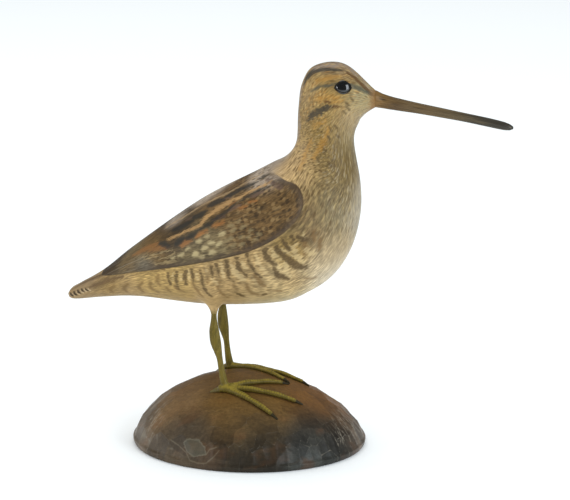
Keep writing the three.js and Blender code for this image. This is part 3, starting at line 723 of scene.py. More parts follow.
store_strokes("rufous_marks", [
    ([(23.0, 17.1), (25.5, 18.7), (28.1, 20.1), (31.5, 22.0)], [0.8, 1.6, 1.8, 1.0]),
    ([(29.2, 19.6), (31.8, 20.8), (35.2, 21.6)], [0.9, 1.6, 1.0]),
])
store_strokes("quills", [
    ([(14.5, 10.5), (20.5, 13.9), (27.2, 17.5)], [0.2, 0.3, 0.2]),
    ([(16.0, 10.5), (22.4, 12.6), (28.6, 15.4)], [0.2, 0.3, 0.2]),
    ([(13.2, 10.7), (17.6, 13.9), (21.7, 17.1)], [0.2, 0.3, 0.2]),
    ([(17.1, 12.9), (23.7, 16.4)], [0.2, 0.25]),
])

# %% [markdown]
# Rows of pale spots follow the wing's lower edge, like the tips of overlapping feathers. Each
# is one touch of the brush, so it's listed with its place and its size. The ones further
# forward are duller, so they're kept as a group of their own.

# %% Pale spots
PALE_SPOTS = [
    (46.0, 24.9, 1.3), (50.1, 24.8, 1.4), (52.8, 24.7, 1.5), (47.9, 22.8, 1.5), (42.4, 22.1, 1.0),
    (44.8, 20.5, 1.8), (50.5, 21.6, 1.6), (54.1, 22.7, 1.3), (47.0, 19.8, 1.4), (40.1, 19.9, 1.2),
    (57.5, 24.4, 1.2), (59.8, 27.1, 1.0), (56.4, 30.4, 1.1), (60.4, 30.3, 1.2), (60.1, 24.8, 1.1),
    (56.4, 26.5, 1.3), (53.6, 27.7, 1.5), (63.0, 29.3, 1.0), (57.0, 29.0, 1.1), (64.3, 26.4, 0.9),
    (54.7, 25.6, 1.0), (62.0, 27.5, 0.9), (65.6, 28.2, 0.9), (58.6, 31.8, 0.9), (48.7, 26.5, 0.9),
    (37.3, 18.8, 0.9),
]
for name, front in (("pale_spots", False), ("dull_spots", True)):
    store_strokes(name, [
        ([(along - 0.7, above - 0.35), (along, above), (along + 0.7, above + 0.35)],
         [size * 0.6, size * 0.9, size * 0.6])
        for along, above, size in PALE_SPOTS if (along > 54) == front
    ])

# %% [markdown]
# The tail's end has a few narrow dark bars with light rims. The wings' edge, the lids and some
# soft areas are kept as fields of their own: the warm face beside the bill, the flecked neck,
# the greyer front, the barred flank, the small feathers at the bend of the wing, the corner
# where the wing's paint is brushed out into the back, and the olive thighs.

# %% Tail bars and soft areas
TAIL_BARS = [
    ([(1.5, 2.9), (1.8, 2.5), (2.4, 2.2)], [0.4, 0.6, 0.5]),
    ([(2.9, 3.6), (3.2, 3.0), (4.0, 2.7)], [0.4, 0.6, 0.4]),
    ([(4.2, 4.2), (4.5, 3.7), (5.3, 3.4)], [0.4, 0.6, 0.3]),
    ([(5.5, 4.7), (5.8, 4.3), (6.5, 4.0)], [0.4, 0.5, 0.3]),
    ([(6.8, 5.0), (7.1, 4.7), (7.8, 4.4)], [0.3, 0.4, 0.3]),
]
store_strokes("tail_bars", TAIL_BARS)
store_strokes("tail_lights", [([(along + 0.85, above + 0.15) for along, above in points],
                               [0.25, 0.35, 0.35]) for points, _ in TAIL_BARS])
store_strokes("tail_shade", [
    ([(2.0, 3.9), (5.8, 6.0), (9.6, 8.1), (13.2, 10.2)], [0.5, 1.4, 1.4, 0.6]),
    ([(8.4, 5.6), (11.2, 6.8), (14.7, 8.4), (19.5, 10.2)], [0.5, 1.5, 1.5, 0.6]),
    ([(14.5, 10.6), (20.5, 12.0), (28.0, 13.0), (34.0, 14.2)], [0.3, 0.35, 0.35, 0.3]),
])


def whole_bird(grid_values, elsewhere):
    """Values given on the rings of the body, filled up for its other points."""
    return np.concatenate([grid_values.ravel(), np.full(len(bird) - grid_points, elsewhere)])


FAR_INSIDE = 12
ahead, up, _ = beside_eye(mirrored)
face_gap = mirrored - body_rings[-1].mean(0)
face_gap[:, 2] *= np.where(face_gap[:, 2] < 0, 0.7, 1.1)
along, above = side_view.T
on_neck = ease(above, 20, 32) * (1 - ease(above, 60, 67)) * ease(along, 68, 76)
clear_of_belly = np.maximum(ease(above, 4, 10), 1 - ease(along, 26, 40))
above_notch = ease(along, 63, 67) * ease(above, 44.2, 46.6)
SOFT_AREAS = {
    "wing": np.clip(whole_bird(wing_in, FAR), FAR, FAR_INSIDE),
    "thigh": 1 - ease(bird[:, 2], THIGH_END + 0.5, THIGH_END + 3.5),
    "wing_rim": np.minimum(whole_bird(wing_rim, FAR_INSIDE), FAR_INSIDE),
    "lids": np.clip(outside_lids(ahead, up) * np.where(up < 0, 0.75, 1), -2, FAR_INSIDE),
    "face": np.minimum(np.linalg.norm(face_gap, axis=1), 14),
    "flecked": on_neck * (1 - 0.5 * ease(along, 90, 97)),
    "frontal": ease(along + 0.25 * above, 92, 102) * ease(above, 12, 24) * (1 - ease(above, 60, 68)),
    "head": ease(above, 58, 66),
    "barred": (ease(along, 5, 10) * (1 - ease(along, 80, 90)) * clear_of_belly
               * (1 - ease(above, 26, 32))),
    "lesser": ease(along, 48, 60) * ease(above, 18, 24),
    "blended": above_notch,
    "rim_share": ease(along, 16, 34) * (1 - above_notch),
}
for name, values in SOFT_AREAS.items():
    keep_numbers(body, name, values)
print("soft areas:", ", ".join(SOFT_AREAS))

flow = body.data.attributes.new("flow", "FLOAT_VECTOR", "POINT")
flow.data.foreach_set("vector", np.vstack([
    feather_flow.reshape(-1, 3), bird[grid_points:, [2, 0, 1]],
]).astype(np.float32).ravel())

# %% [markdown]
# ## The ground coat
#
# Before any mark goes on, the bird gets a ground coat: buff, grey, cream and brown, each brushed
# on round its own place and worked into its neighbours while wet. A short list names each dab of
# colour, where it goes and how far it spreads. Every point of the skin then takes a weighted
# average of the dabs. The wings have a list of their own, because their edge is crisp. Two
# mauve-grey dabs in it, along the top of the back, are a painted sheen.

# %% Mixing paint
def paint(red, green, blue):
    """A colour given as a painter's swatch, 0 to 255, as Blender's linear light."""
    swatch = np.array([red, green, blue]) / 255
    linear = np.where(swatch < 0.04045, swatch / 12.92, ((swatch + 0.055) / 1.055) ** 2.4)
    return np.append(linear, 1.0)


PAINTS = {
    "cream": (196, 182, 155),
    "bone": (191, 173, 131),
    "sand": (156, 137, 104),
    "stone": (150, 140, 120),
    "buff": (153, 127, 84),
    "warm sand": (171, 143, 99),
    "golden buff": (158, 131, 79),
    "ochre": (131, 106, 58),
    "olive grey": (138, 128, 93),
    "mouse": (115, 101, 68),
    "drab": (98, 79, 39),
    "ash brown": (126, 107, 82),
    "mauve grey": (158, 143, 125),
    "olive brown": (104, 90, 62),
    "slate": (106, 101, 88),
    "brown": (99, 76, 41),
    "umber": (96, 73, 42),
    "dark umber": (66, 52, 33),
}


def coat_of_dabs(piece, name, points, dabs):
    """Blends dabs of paint over the points of a piece: (place, spread, swatch)."""
    total = np.zeros((len(points), 4))
    weight = np.full(len(points), 1e-12)
    for place, spread, swatch in dabs:
        share = np.exp(-(np.linalg.norm(points - place, axis=1) / spread) ** 2)
        total += share[:, None] * paint(*swatch)
        weight += share
    coat = piece.data.attributes.new(name, "FLOAT_COLOR", "POINT")
    coat.data.foreach_set("color", (total / weight[:, None]).astype(np.float32).ravel())
    print(f"{name}: {len(dabs)} dabs")


def ground_coat(name, dabs):
    """A coat on the bird from dabs in side view: (name, along, above, spread, paint)."""
    coat_of_dabs(body, name, mirrored, [
        (on_skin(dab_along, dab_above), spread * UNIT, PAINTS[tint])
        for _, dab_along, dab_above, spread, tint in dabs
    ])


# %% The dabs
ground_coat("body_ground", [
    ("crown", 88, 80, 5, "ash brown"),
    ("head", 85, 71, 7, "ochre"),
    ("behind the eye", 79, 69, 5, "buff"),
    ("face", 97, 69, 4, "olive grey"),
    ("throat", 94, 63, 5, "sand"),
    ("side of the neck", 84, 59, 7, "ochre"),
    ("front of the neck", 93, 55, 6, "mouse"),
    ("nape", 76.5, 67, 5, "drab"),
    ("root of the neck", 77, 48, 7, "warm sand"),
    ("upper breast", 88, 46, 7, "drab"),
    ("below the throat", 92, 48, 5, "drab"),
    ("neck, below the middle", 86, 52, 5, "drab"),
    ("beside the wing", 80.5, 36, 4.5, "umber"),
    ("above the front bars", 82.5, 28.5, 4, "umber"),
    ("between the front bars", 77, 23, 4, "ochre"),
    ("side of the breast", 91.7, 38.5, 4, "drab"),
    ("middle of the breast", 87, 34, 8, "mouse"),
    ("front of the breast", 95, 34, 7, "stone"),
    ("low breast", 88, 21, 8, "sand"),
    ("front of the belly", 87, 12, 7, "cream"),
    ("belly", 72, 4, 9, "bone"),
    ("below the front bars", 75, 10.5, 5, "buff"),
    ("low flank", 67, 7, 4, "buff"),
    ("flank", 56, 12, 9, "buff"),
    ("rear flank", 36, 9, 8, "golden buff"),
    ("under the tail", 14, 2, 9, "buff"),
    ("side of the tail", 13.5, 5.8, 4, "ochre"),
    ("top of the tail", 8, 7, 5, "ash brown"),
    ("belly line", 50, 0.5, 9, "warm sand"),
    ("mantle", 69, 48, 4.5, "mauve grey"),
])
ground_coat("wing_ground", [
    ("bend of the wing", 75, 38, 7, "umber"),
    ("top of the bend", 67, 44.5, 4, "mauve grey"),
    ("lesser feathers", 63, 31, 7, "umber"),
    ("spotted feathers", 48, 22, 7, "olive brown"),
    ("along the stripes", 53, 36, 6, "umber"),
    ("rear shoulder", 38, 26, 6, "dark umber"),
    ("long inner feathers", 30, 20.5, 4.5, "brown"),
    ("flight feathers", 24, 14, 5, "olive brown"),
    ("folded tips", 22.5, 14.5, 3, "umber"),
    ("grey of the flight feathers", 27, 14.4, 3, "slate"),
    ("wing tip", 14, 10.5, 5, "dark umber"),
    # Painted sheen: these two mauve-grey dabs lighten the top edge of the back.
    ("painted sheen on the edge of the back", 36.5, 28.5, 2.6, "mauve grey"),
    ("painted sheen on the middle of the back", 47, 37.5, 4, "mauve grey"),
])

# %% [markdown]
# ## Tools for materials
#
# Blender describes a finish as a graph of nodes. These helpers add one node each, fill or wire
# its sockets, and return what comes out, so that a material reads from top to bottom like a
# recipe. Whatever is the same all over a surface is set straight on the shader.

# %% One node at a time
def add(tree, kind, sockets=None, **settings):
    """Adds a node, with its settings, and fills or wires its sockets."""
    node = tree.nodes.new(kind)
    for name, value in settings.items():
        setattr(node, name, value)
    for name, value in (sockets or {}).items():
        if isinstance(value, bpy.types.NodeSocket):
            tree.links.new(value, node.inputs[name])
        else:
            node.inputs[name].default_value = value
    return node


def new_finish(name, **shader_values):
    """A material with one main shader, and the plain values of that shader."""
    material = bpy.data.materials.new(name)
    material.use_nodes = True
    shader = material.node_tree.nodes["Principled BSDF"]
    for socket, value in shader_values.items():
        shader.inputs[socket.replace("_", " ")].default_value = value
    return material, material.node_tree, shader


def field(tree, name):
    """A number kept on the mesh."""
    return add(tree, "ShaderNodeAttribute", attribute_name=name).outputs["Fac"]


def maths(tree, operation, a, b=0.0):
    """Plain arithmetic on one or two numbers."""
    return add(tree, "ShaderNodeMath", {0: a, 1: b}, operation=operation).outputs[0]


def step(tree, value, low, high, start=0.0, end=1.0):
    """A smooth rise from start to end while the value goes from low to high."""
    sockets = {"Value": value, 1: low, 2: high, 3: start, 4: end}
    return add(tree, "ShaderNodeMapRange", sockets, interpolation_type="SMOOTHSTEP").outputs[0]


def over(tree, share, under, colour, mode="MIX"):
    """One colour laid over another. A colour may be a socket or a painter's swatch."""
    if isinstance(colour, tuple):
        colour = tuple(paint(*colour))
    sockets = {0: share, 6: under, 7: colour}
    return add(tree, "ShaderNodeMix", sockets, data_type="RGBA", blend_type=mode).outputs[2]


def ragged(tree, name, teeth, reach):
    """A distance kept on the mesh, made uneven by noise."""
    return maths(tree, "ADD", field(tree, name), maths(tree, "MULTIPLY", teeth, reach))


def coat(tree, shader, colour, noise, smoothest, roughest):
    """Gives the shader its mixed colour and a sheen that varies with the noise."""
    tree.links.new(colour, shader.inputs["Base Color"])
    tree.links.new(step(tree, noise, 0.3, 0.7, smoothest, roughest), shader.inputs["Roughness"])


def bump(tree, shader, height, depth):
    """Gives the finish a fine relief, in millimetres."""
    sockets = {"Height": height, "Strength": 1.0, "Distance": depth * MM}
    tree.links.new(add(tree, "ShaderNodeBump", sockets).outputs[0], shader.inputs["Normal"])


# %% [markdown]
# Two kinds of brushwork serve all the finishes. Streaks come from noise that's drawn out along a
# direction. Dabs come from a cell pattern drawn out in the same way: every cell is one touch of
# the brush, and a random number of the cell decides whether it's painted at all.

# %% Streaks and dabs
def along_feathers(tree, long, wide, shift=0.0):
    """Places on the bird counted in strokes, so long along the feathers and so wide across."""
    flow = add(tree, "ShaderNodeAttribute", attribute_name="flow").outputs["Vector"]
    return add(tree, "ShaderNodeMapping", {
        "Vector": flow, "Location": (shift * long, shift * wide, shift * wide),
        "Scale": (long, wide, 4 * wide),
    }, vector_type="TEXTURE").outputs[0]


def along_slope(tree, angle, long, wide, shift=0.0):
    """Places on any piece counted in strokes that rise at an angle in side view."""
    place = add(tree, "ShaderNodeTexCoord").outputs["Object"]
    return add(tree, "ShaderNodeMapping", {
        "Vector": place, "Location": (shift, 0, 0), "Rotation": (0, -math.radians(angle), 0),
        "Scale": (long * MM, wide * MM, wide * MM),
    }, vector_type="TEXTURE").outputs[0]


def streaks(tree, place, detail=2.0, rough=0.55):
    """Noise about 0.5, drawn out as the places are."""
    sockets = {"Vector": place, "Scale": 1.0, "Detail": detail, "Roughness": rough}
    return add(tree, "ShaderNodeTexNoise", sockets).outputs["Fac"]


def dabs(tree, place, share, strength=1.0):
    """Touches of the brush that cover about a share of the cells."""
    cells = add(tree, "ShaderNodeTexVoronoi", {"Vector": place, "Scale": 1.0})
    chance = add(tree, "ShaderNodeSeparateColor", {0: cells.outputs["Color"]}).outputs[0]
    painted = step(tree, chance, 0.96 - share, 1.04 - share, 0.0, strength)
    return maths(tree, "MULTIPLY", painted, step(tree, cells.outputs["Distance"], 0.62, 0.3))


# %% [markdown]
# ## The plumage
#
# The paint is a matt oil colour under a thin satin varnish. The recipe follows the painter's
# order. The ground coat is broken up with streaks and dabs that run the way the feathers lie,
# with a stronger hatch on the head, neck and flank. Each kind of mark then goes on top, its edge
# frayed like a comb by the same fine streaks.

# %% The plumage's recipe
plumage, tree, shader = new_finish(
    "painted_plumage", Metallic=0.0, IOR=1.45, Specular_IOR_Level=0.25)

fine = streaks(tree, along_feathers(tree, 2.6, 0.42), detail=1.0)
hatch = streaks(tree, along_feathers(tree, 3.8, 0.62, 1.3), detail=0.5)
broad = streaks(tree, along_feathers(tree, 7, 1.6, 3.1), detail=2.0)
mottle = streaks(tree, along_feathers(tree, 12, 6, 5.3), detail=3.0)
comb = maths(tree, "SUBTRACT", fine, 0.5)
coarse_comb = maths(tree, "SUBTRACT", hatch, 0.5)


def masked(mask, area):
    """A mask of brushwork, kept to one area of the piece."""
    return maths(tree, "MULTIPLY", mask, field(tree, area))


def marked(under, marks, fray, low, high, strength, swatch, teeth=None):
    """One kind of mark laid over a colour, its edge frayed by the streaks."""
    teeth = comb if teeth is None else teeth
    frayed = ragged(tree, marks, teeth, fray)
    return over(tree, step(tree, frayed, low, high, 0.0, strength), under, swatch)


def touched(under, area, long, wide, shift, share, strength, swatch):
    """Separate touches of the brush, kept to one area of the bird."""
    touches = dabs(tree, along_feathers(tree, long, wide, shift), share, strength)
    return over(tree, masked(touches, area), under, swatch)


def toned(under, value, spread, low=0.3, high=0.7):
    """A colour made a little darker or lighter by noise or by a number kept on the mesh."""
    tone = step(tree, value, low, high, 1 - spread, 1 + spread)
    return over(tree, 1.0, under, tone, "MULTIPLY")


# %% Ground and feathers of the body
colour = add(tree, "ShaderNodeAttribute", attribute_name="body_ground").outputs["Color"]
colour = toned(colour, fine, 0.13)
colour = toned(colour, hatch, 0.12)
hatched = toned(toned(colour, hatch, 0.17), fine, 0.13)
head_and_neck = maths(tree, "ADD", field(tree, "head"), field(tree, "flecked"))
finely = maths(tree, "MAXIMUM", field(tree, "barred"), maths(tree, "MULTIPLY", head_and_neck, 0.75))
colour = over(tree, finely, colour, hatched)
for touches in [
    ("flecked", 5.0, 1.0, 1.7, 0.45, 0.34, (172, 148, 96)),
    ("flecked", 4.2, 1.0, 2.9, 0.48, 0.7, (82, 62, 32)),
    ("frontal", 5.0, 1.0, 6.1, 0.32, 0.35, (184, 170, 138)),
    ("frontal", 4.2, 1.0, 4.3, 0.4, 0.6, (100, 84, 58)),
]:
    colour = touched(colour, *touches)
colour = marked(colour, "crown", 5.0, -1.4, 1.0, 0.8, (134, 119, 103), coarse_comb)
for touches in [
    ("head", 3.6, 1.2, 13.3, 0.3, 0.4, (164, 116, 50)),
    ("head", 3.0, 1.1, 7.7, 0.4, 0.5, (188, 160, 102)),
    ("head", 2.6, 1.0, 8.9, 0.32, 0.65, (92, 66, 32)),
]:
    colour = touched(colour, *touches)

# %% Marks of the body: how far they fray, where the edge rises, their strength and their tint
BODY_MARKS = [
    ("faint_bars", 3.4, -0.9, 0.9, 0.72, (102, 76, 42), coarse_comb),
    ("flank_lights", 4.5, -0.5, 1.0, 0.45, (194, 172, 126), coarse_comb),
    ("flank_bars", 3.4, -0.75, 0.5, 0.84, (74, 57, 33), coarse_comb),
    ("ochre_touches", 4.0, -1.0, 1.4, 0.5, (163, 116, 44), coarse_comb),
    ("head_marks", 4.4, -0.7, 0.6, 0.88, (54, 50, 41), coarse_comb),
    ("brown_lines", 3.0, -0.4, 0.5, 0.85, (84, 56, 28), coarse_comb),
    ("grey_marks", 2.8, -0.5, 0.6, 0.82, (68, 69, 58), comb),
    ("dark_dots", 1.0, -0.3, 0.3, 0.6, (74, 58, 34)),
    ("tail_shade", 6.0, -0.8, 0.9, 0.8, (84, 62, 38), coarse_comb),
    ("tail_lights", 0.6, -0.2, 0.3, 0.75, (196, 172, 134)),
    ("tail_bars", 1.0, -0.3, 0.3, 0.92, (46, 34, 20)),
]
for mark in BODY_MARKS:
    colour = marked(colour, *mark)
nose = ragged(tree, "face", coarse_comb, 3.0)
colour = over(tree, step(tree, nose, 3.4, 8.0, 0.9, 0.0), colour, (124, 88, 46))
colour = over(tree, step(tree, field(tree, "lids"), 0.7, 0.35, 0.0, 0.97), colour, (9, 9, 7))

# %% Ground and feathers of the wings
wing_colour = add(tree, "ShaderNodeAttribute", attribute_name="wing_ground").outputs["Color"]
wing_colour = toned(wing_colour, fine, 0.28)
wing_colour = toned(wing_colour, broad, 0.18)
for touches in [
    ("lesser", 2.6, 1.2, 9.3, 0.45, 0.55, (140, 114, 74)),
    ("lesser", 2.6, 1.0, 10.7, 0.42, 0.65, (46, 34, 20)),
]:
    wing_colour = touched(wing_colour, *touches)
barbs = dabs(tree, along_feathers(tree, 6.5, 0.7, 12.1), 0.35, 0.45)
wing_colour = over(tree, barbs, wing_colour, (56, 46, 32))

# %% Marks of the wings
WING_MARKS = [
    ("quills", 0.4, -0.1, 0.2, 0.34, (142, 132, 112)),
    ("rufous_marks", 4.0, -0.6, 0.9, 0.65, (136, 92, 48)),
    ("thin_edges", 2.0, -0.2, 0.4, 0.6, (152, 132, 92)),
    ("purple_touches", 2.4, -0.4, 0.6, 0.7, (92, 72, 60)),
    ("orange_touches", 3.4, -0.9, 1.2, 0.7, (150, 98, 48)),
    ("dull_spots", 2.0, -0.7, 1.1, 0.6, (140, 124, 88)),
    ("pale_spots", 1.4, -0.6, 1.1, 0.68, (178, 161, 118)),
    ("thin_pale_line", 3.2, -0.7, 0.9, 0.66, (162, 136, 98)),
    ("slate_blotches", 3.4, -0.8, 0.6, 0.84, (44, 42, 36)),
    ("ochre_stripe", 3.6, -0.5, 0.9, 0.82, (166, 130, 82)),
]
for mark in WING_MARKS:
    wing_colour = marked(wing_colour, *mark)
rim = ragged(tree, "wing_rim", coarse_comb, 4.0)
edge_band = masked(step(tree, rim, 1.0, 4.2, 0.72, 0.0), "rim_share")
wing_colour = over(tree, edge_band, wing_colour, (70, 57, 44))
frayed_wing = ragged(tree, "wing", comb, 0.5)
crisp = step(tree, frayed_wing, -0.25, 0.15)
blended_wing = ragged(tree, "wing", coarse_comb, 5)
blended = step(tree, blended_wing, -4.0, 5.0)
covered = add(tree, "ShaderNodeMix", {"Factor": field(tree, "blended"), "A": crisp, "B": blended})
colour = over(tree, covered.outputs["Result"], colour, wing_colour)

# %% Finish of the paint
colour = toned(colour, mottle, 0.08)
colour = over(tree, maths(tree, "MULTIPLY", field(tree, "thigh"), 0.8), colour, (112, 98, 50))
coat(tree, shader, colour, mottle, 0.42, 0.56)
bump(tree, shader, maths(tree, "ADD", maths(tree, "MULTIPLY", broad, 0.5), fine), 0.06)
body.data.materials.append(plumage)
print("plumage nodes:", len(tree.nodes))

# %% [markdown]
# ## The bill
#
# The bill is a separate slip of hard wood let into the face. Its outline comes from a short
# table of shares: how tall and wide it is at each place along it. A groove runs along each side
# where the two halves of a living bird's bill would meet, and near the root there is a nostril.
# Both are pressed into the mesh, because they catch the light.

# %% The bill's shape
BILL_LENGTH = 66
BILL_DROOP = math.radians(9.7)
BILL_PROFILE = [
    (0, 1, 1, 0), (0.05, 0.86, 0.84, 0.05), (0.13, 0.76, 0.72, 0.08), (0.3, 0.64, 0.6, 0.08),
    (0.47, 0.58, 0.54, 0.08), (0.65, 0.53, 0.5, 0.09), (0.83, 0.53, 0.52, 0.12),
    (0.93, 0.49, 0.54, 0.15), (0.975, 0.36, 0.42, 0.16), (1, 0.14, 0.16, 0.16),
]
BILL_INSET = 1.5
GROOVE_DEPTH = 0.16
NOSTRIL_ALONG = 3.6
NOSTRIL_LENGTH = 3.2
NOSTRIL_DEPTH = 0.34

root_high, root_low = skin(1, 0), skin(1, np.pi)
root_tall = root_high[2] - root_low[2]
root_wide = STATIONS[-1][3] / 100 * BODY_WIDTH
bill_start = (root_high + root_low) / 2 + [0.3, 0, 0]

profile = np.array(BILL_PROFILE)
places = np.concatenate([np.linspace(0, 0.9, 150), np.linspace(0.905, 1, 40)])
guide = np.interp(places, profile[:, 0], np.linspace(0, 1, len(profile)))
_, tall, wide, low = smooth_through(profile, guide).T
middles = np.stack([
    bill_start[0] + places * BILL_LENGTH * math.cos(BILL_DROOP),
    np.zeros_like(places),
    bill_start[2] - places * BILL_LENGTH * math.sin(BILL_DROOP) - low * root_tall,
], -1)
left = np.tile([0, 1.0, 0], (len(places), 1))
upward = np.tile([0, 0, 1.0], (len(places), 1))
BILL_SIDES = 64
bill_rings = oval_rings(middles, left, upward, wide * root_wide / 2, tall * root_tall / 2,
                        BILL_SIDES)

round_bill = np.linspace(0, 2 * np.pi, BILL_SIDES, endpoint=False)
from_side = np.abs(np.abs((round_bill + np.pi / 2) % (2 * np.pi) - np.pi) - np.pi / 2)
height_over_groove = np.sin(round_bill)[None, :] * (tall * root_tall / 2)[:, None]
groove = np.exp(-((height_over_groove + 0.25) / 0.28) ** 2) * GROOVE_DEPTH
groove *= (ease(places, 0.01, 0.05) * (1 - ease(places, 0.9, 0.97)))[:, None]
reach = (places * BILL_LENGTH - NOSTRIL_ALONG)[:, None] / NOSTRIL_LENGTH
nostril = np.exp(-reach ** 2 - ((height_over_groove - 1.3) / 0.62) ** 2) * NOSTRIL_DEPTH
bill_rings[..., 1] -= np.sign(np.cos(round_bill))[None, :] * (groove + nostril)

inner = bill_rings[:1] - [BILL_INSET, 0, 0]
closing = bill_rings[:1] - [0.3, 0, 0]
bill, bill_points = make_piece("painted_bill", [np.concatenate([inner, closing, bill_rings])])

# %% [markdown]
# The bill's paint goes from a warm brown root over grey-brown to a nearly black tip, with fine
# lines drawn along it. The colour depends only on how far along the bill a point lies, so one
# number per point is enough, and a ramp of colours does the rest.

# %% The bill's paint
share_along = (bill_points[:, 0] - bill_start[0]) / (BILL_LENGTH * math.cos(BILL_DROOP))
keep_numbers(bill, "along", share_along)
pits = np.concatenate([np.zeros(2 * BILL_SIDES), (groove + nostril).ravel(), [0, 0]])
keep_numbers(bill, "pits", pits)


def ramp(tree, value, stops):
    """A run of colours along a number: (place, swatch)."""
    node = add(tree, "ShaderNodeValToRGB", {"Fac": value})
    elements = node.color_ramp.elements
    while len(elements) < len(stops):
        elements.new(0.5)
    for element, (place, swatch) in zip(elements, stops):
        element.position = place
        element.color = tuple(paint(*swatch))
    return node.outputs["Color"]


bill_paint, tree, shader = new_finish(
    "bill_paint", Metallic=0.0, IOR=1.45, Specular_IOR_Level=0.35)
lines = streaks(tree, along_slope(tree, -10, 14, 0.5))
blots = streaks(tree, along_slope(tree, -10, 6, 1.8, 0.3))
wander = maths(tree, "ADD", field(tree, "along"),
               maths(tree, "MULTIPLY", maths(tree, "SUBTRACT", blots, 0.5), 0.12))
colour = ramp(tree, wander, [
    (0.0, (120, 88, 44)), (0.05, (102, 76, 37)), (0.14, (82, 62, 35)), (0.4, (90, 73, 46)),
    (0.6, (80, 68, 46)), (0.72, (58, 52, 40)), (1.0, (46, 45, 40)),
])
colour = over(tree, step(tree, lines, 0.5, 0.7, 0.0, 0.4), colour, (42, 32, 18))
colour = over(tree, step(tree, lines, 0.5, 0.3, 0.0, 0.25), colour, (134, 112, 74))
colour = over(tree, step(tree, field(tree, "pits"), 0.16, 0.34, 0.0, 0.8), colour, (40, 28, 16))
coat(tree, shader, colour, blots, 0.34, 0.5)
bump(tree, shader, lines, 0.04)
bill.data.materials.append(bill_paint)

# %% [markdown]
# ## The glass eyes
#
# A decoy's eyes are small domes of black glass on a short stem, pressed into putty. Glass this
# dark lets no light through, so the finish is black with a mirror-like surface. Nearly all that
# one sees of it is the reflection of the lights.

# %% Eyes of black glass
def eye_rings(mirror):
    """Rings of one eye, from the back of its stem to the top of its dome."""
    radius = EYE_DIAMETER / 2
    angle = np.linspace(0, np.pi / 2, 26)[:-1]
    reach = np.concatenate([[0.6, 0.93, 1.0, 1.0], np.cos(angle), [0.02]]) * radius
    height = np.concatenate([[-EYE_DEPTH, -EYE_DEPTH, 0.15 - EYE_DEPTH, -0.8],
                             EYE_BULGE * np.sin(angle), [EYE_BULGE]])
    middles = head_place * mirror + height[:, None] * (eye_outward * mirror)
    count = len(height)
    return oval_rings(middles, np.tile(eye_ahead * mirror, (count, 1)),
                      np.tile(eye_upward * mirror, (count, 1)), reach, reach, 64)


eye_glass, tree, shader = new_finish(
    "eye_glass", Metallic=0.0, IOR=1.5, Specular_IOR_Level=0.85)
depth_of_glass = streaks(tree, along_slope(tree, 0, 2.5, 2.5), detail=1.0)
colour = over(tree, step(tree, depth_of_glass, 0.35, 0.7), tuple(paint(4, 5, 8)), (12, 10, 9))
coat(tree, shader, colour, depth_of_glass, 0.03, 0.06)

eyes = {}
for side, mirror in (("left", np.array([1, 1, 1])), ("right", flip)):
    eye, _ = make_piece(f"glass_eye_{side}", [eye_rings(mirror)])
    eye.data.materials.append(eye_glass)
    eyes[side] = eye

# %% [markdown]
# ## The base
#
# The base was turned or sawn to a dome and then gone over with a wide, shallow gouge. Its plain
# height is a formula. Each cut of the gouge is a shallow scoop round a middle point, and where
# two scoops meet a crisp ridge is left. The top was smoothed for the feet, so the scoops fade
# out there. Two more numbers are kept for the stain: how near a point is to a ridge, and which
# scoop it belongs to, because no two took the stain alike.

# %% The dome and its gouge cuts
base_low, base_high = (np.array(corner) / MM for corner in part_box("base"))
BASE_LENGTH = base_high[0] - base_low[0]
BASE_WIDTH = base_high[1] - base_low[1]
BASE_HEIGHT = 35.2
CROWN_SETBACK = 3.8
RIM_HEIGHT = 2.8
RIM_UNDERCUT = 1.3
GOUGE_DEPTH = 1.0
GOUGE_WIDTH = 11.5
DOME_SHOULDER = 1.75
DOME_FULLNESS = 0.635


def dome_height(x, y):
    """The plain height of the dome over a place on the table."""
    outward = np.hypot(x / (BASE_LENGTH / 2), y / (BASE_WIDTH / 2))
    shift = CROWN_SETBACK * (1 - np.minimum(outward, 1) ** 2)
    share = np.hypot((x + shift) / (BASE_LENGTH / 2), y / (BASE_WIDTH / 2))
    rise = np.maximum(1 - share ** DOME_SHOULDER, 0) ** DOME_FULLNESS
    return RIM_HEIGHT + (BASE_HEIGHT - RIM_HEIGHT) * rise


def dome_point(x, y):
    """A point of the plain dome."""
    return np.stack([x, y, dome_height(x, y)], -1)


def dome_normal(x, y):
    """The direction straight out of the plain dome."""
    nudge = 0.5
    along_x = dome_point(x + nudge, y) - dome_point(x - nudge, y)
    along_y = dome_point(x, y + nudge) - dome_point(x, y - nudge)
    normal = np.cross(along_x, along_y)
    return normal / np.linalg.norm(normal, axis=-1, keepdims=True)


def gouge_cuts():
    """Middles of the scoops, in uneven rings round the dome."""
    cuts = []
    slope = BASE_LENGTH / 4 + BASE_HEIGHT
    rows = round(slope / GOUGE_WIDTH)
    for row in range(rows + 1):
        outward = math.sin(math.pi / 2 * (1 - (row + 0.3) / (rows + 1)))
        girth = outward * math.pi * (BASE_LENGTH + BASE_WIDTH) / 2
        count = max(round(girth / GOUGE_WIDTH), 3)
        for i in range(count):
            seed = row * 97 + i + 1
            sideways = 0.6 * (scatter(seed) - 0.5)
            angle = (i + (row % 2) / 2 + sideways) / count * 2 * math.pi
            reach = outward * (1 + 0.06 * (scatter(seed + 31) - 0.5))
            x = reach * BASE_LENGTH / 2 * math.cos(angle)
            y = reach * BASE_WIDTH / 2 * math.sin(angle)
            cuts.append([x, y, float(dome_height(x, y))])
    return np.array(cuts)


# %% [markdown]
# Lower down the carver went over the slope a second time with a narrower gouge, straight down
# towards the table. Those cuts are long cells, found in the same way, but measured with a ruler
# that is stretched down the slope. Both ends of the base are rubbed and scratched. The light lines
# along the scratches there are partly wear and partly a painted highlight, so the distance to the
# nearest of many long scratches is worked out as well.

# %% The narrow cuts
STRIP_WIDTH = 5.6
STRIP_LENGTH = 12.5
STRIP_DEPTH = 0.42


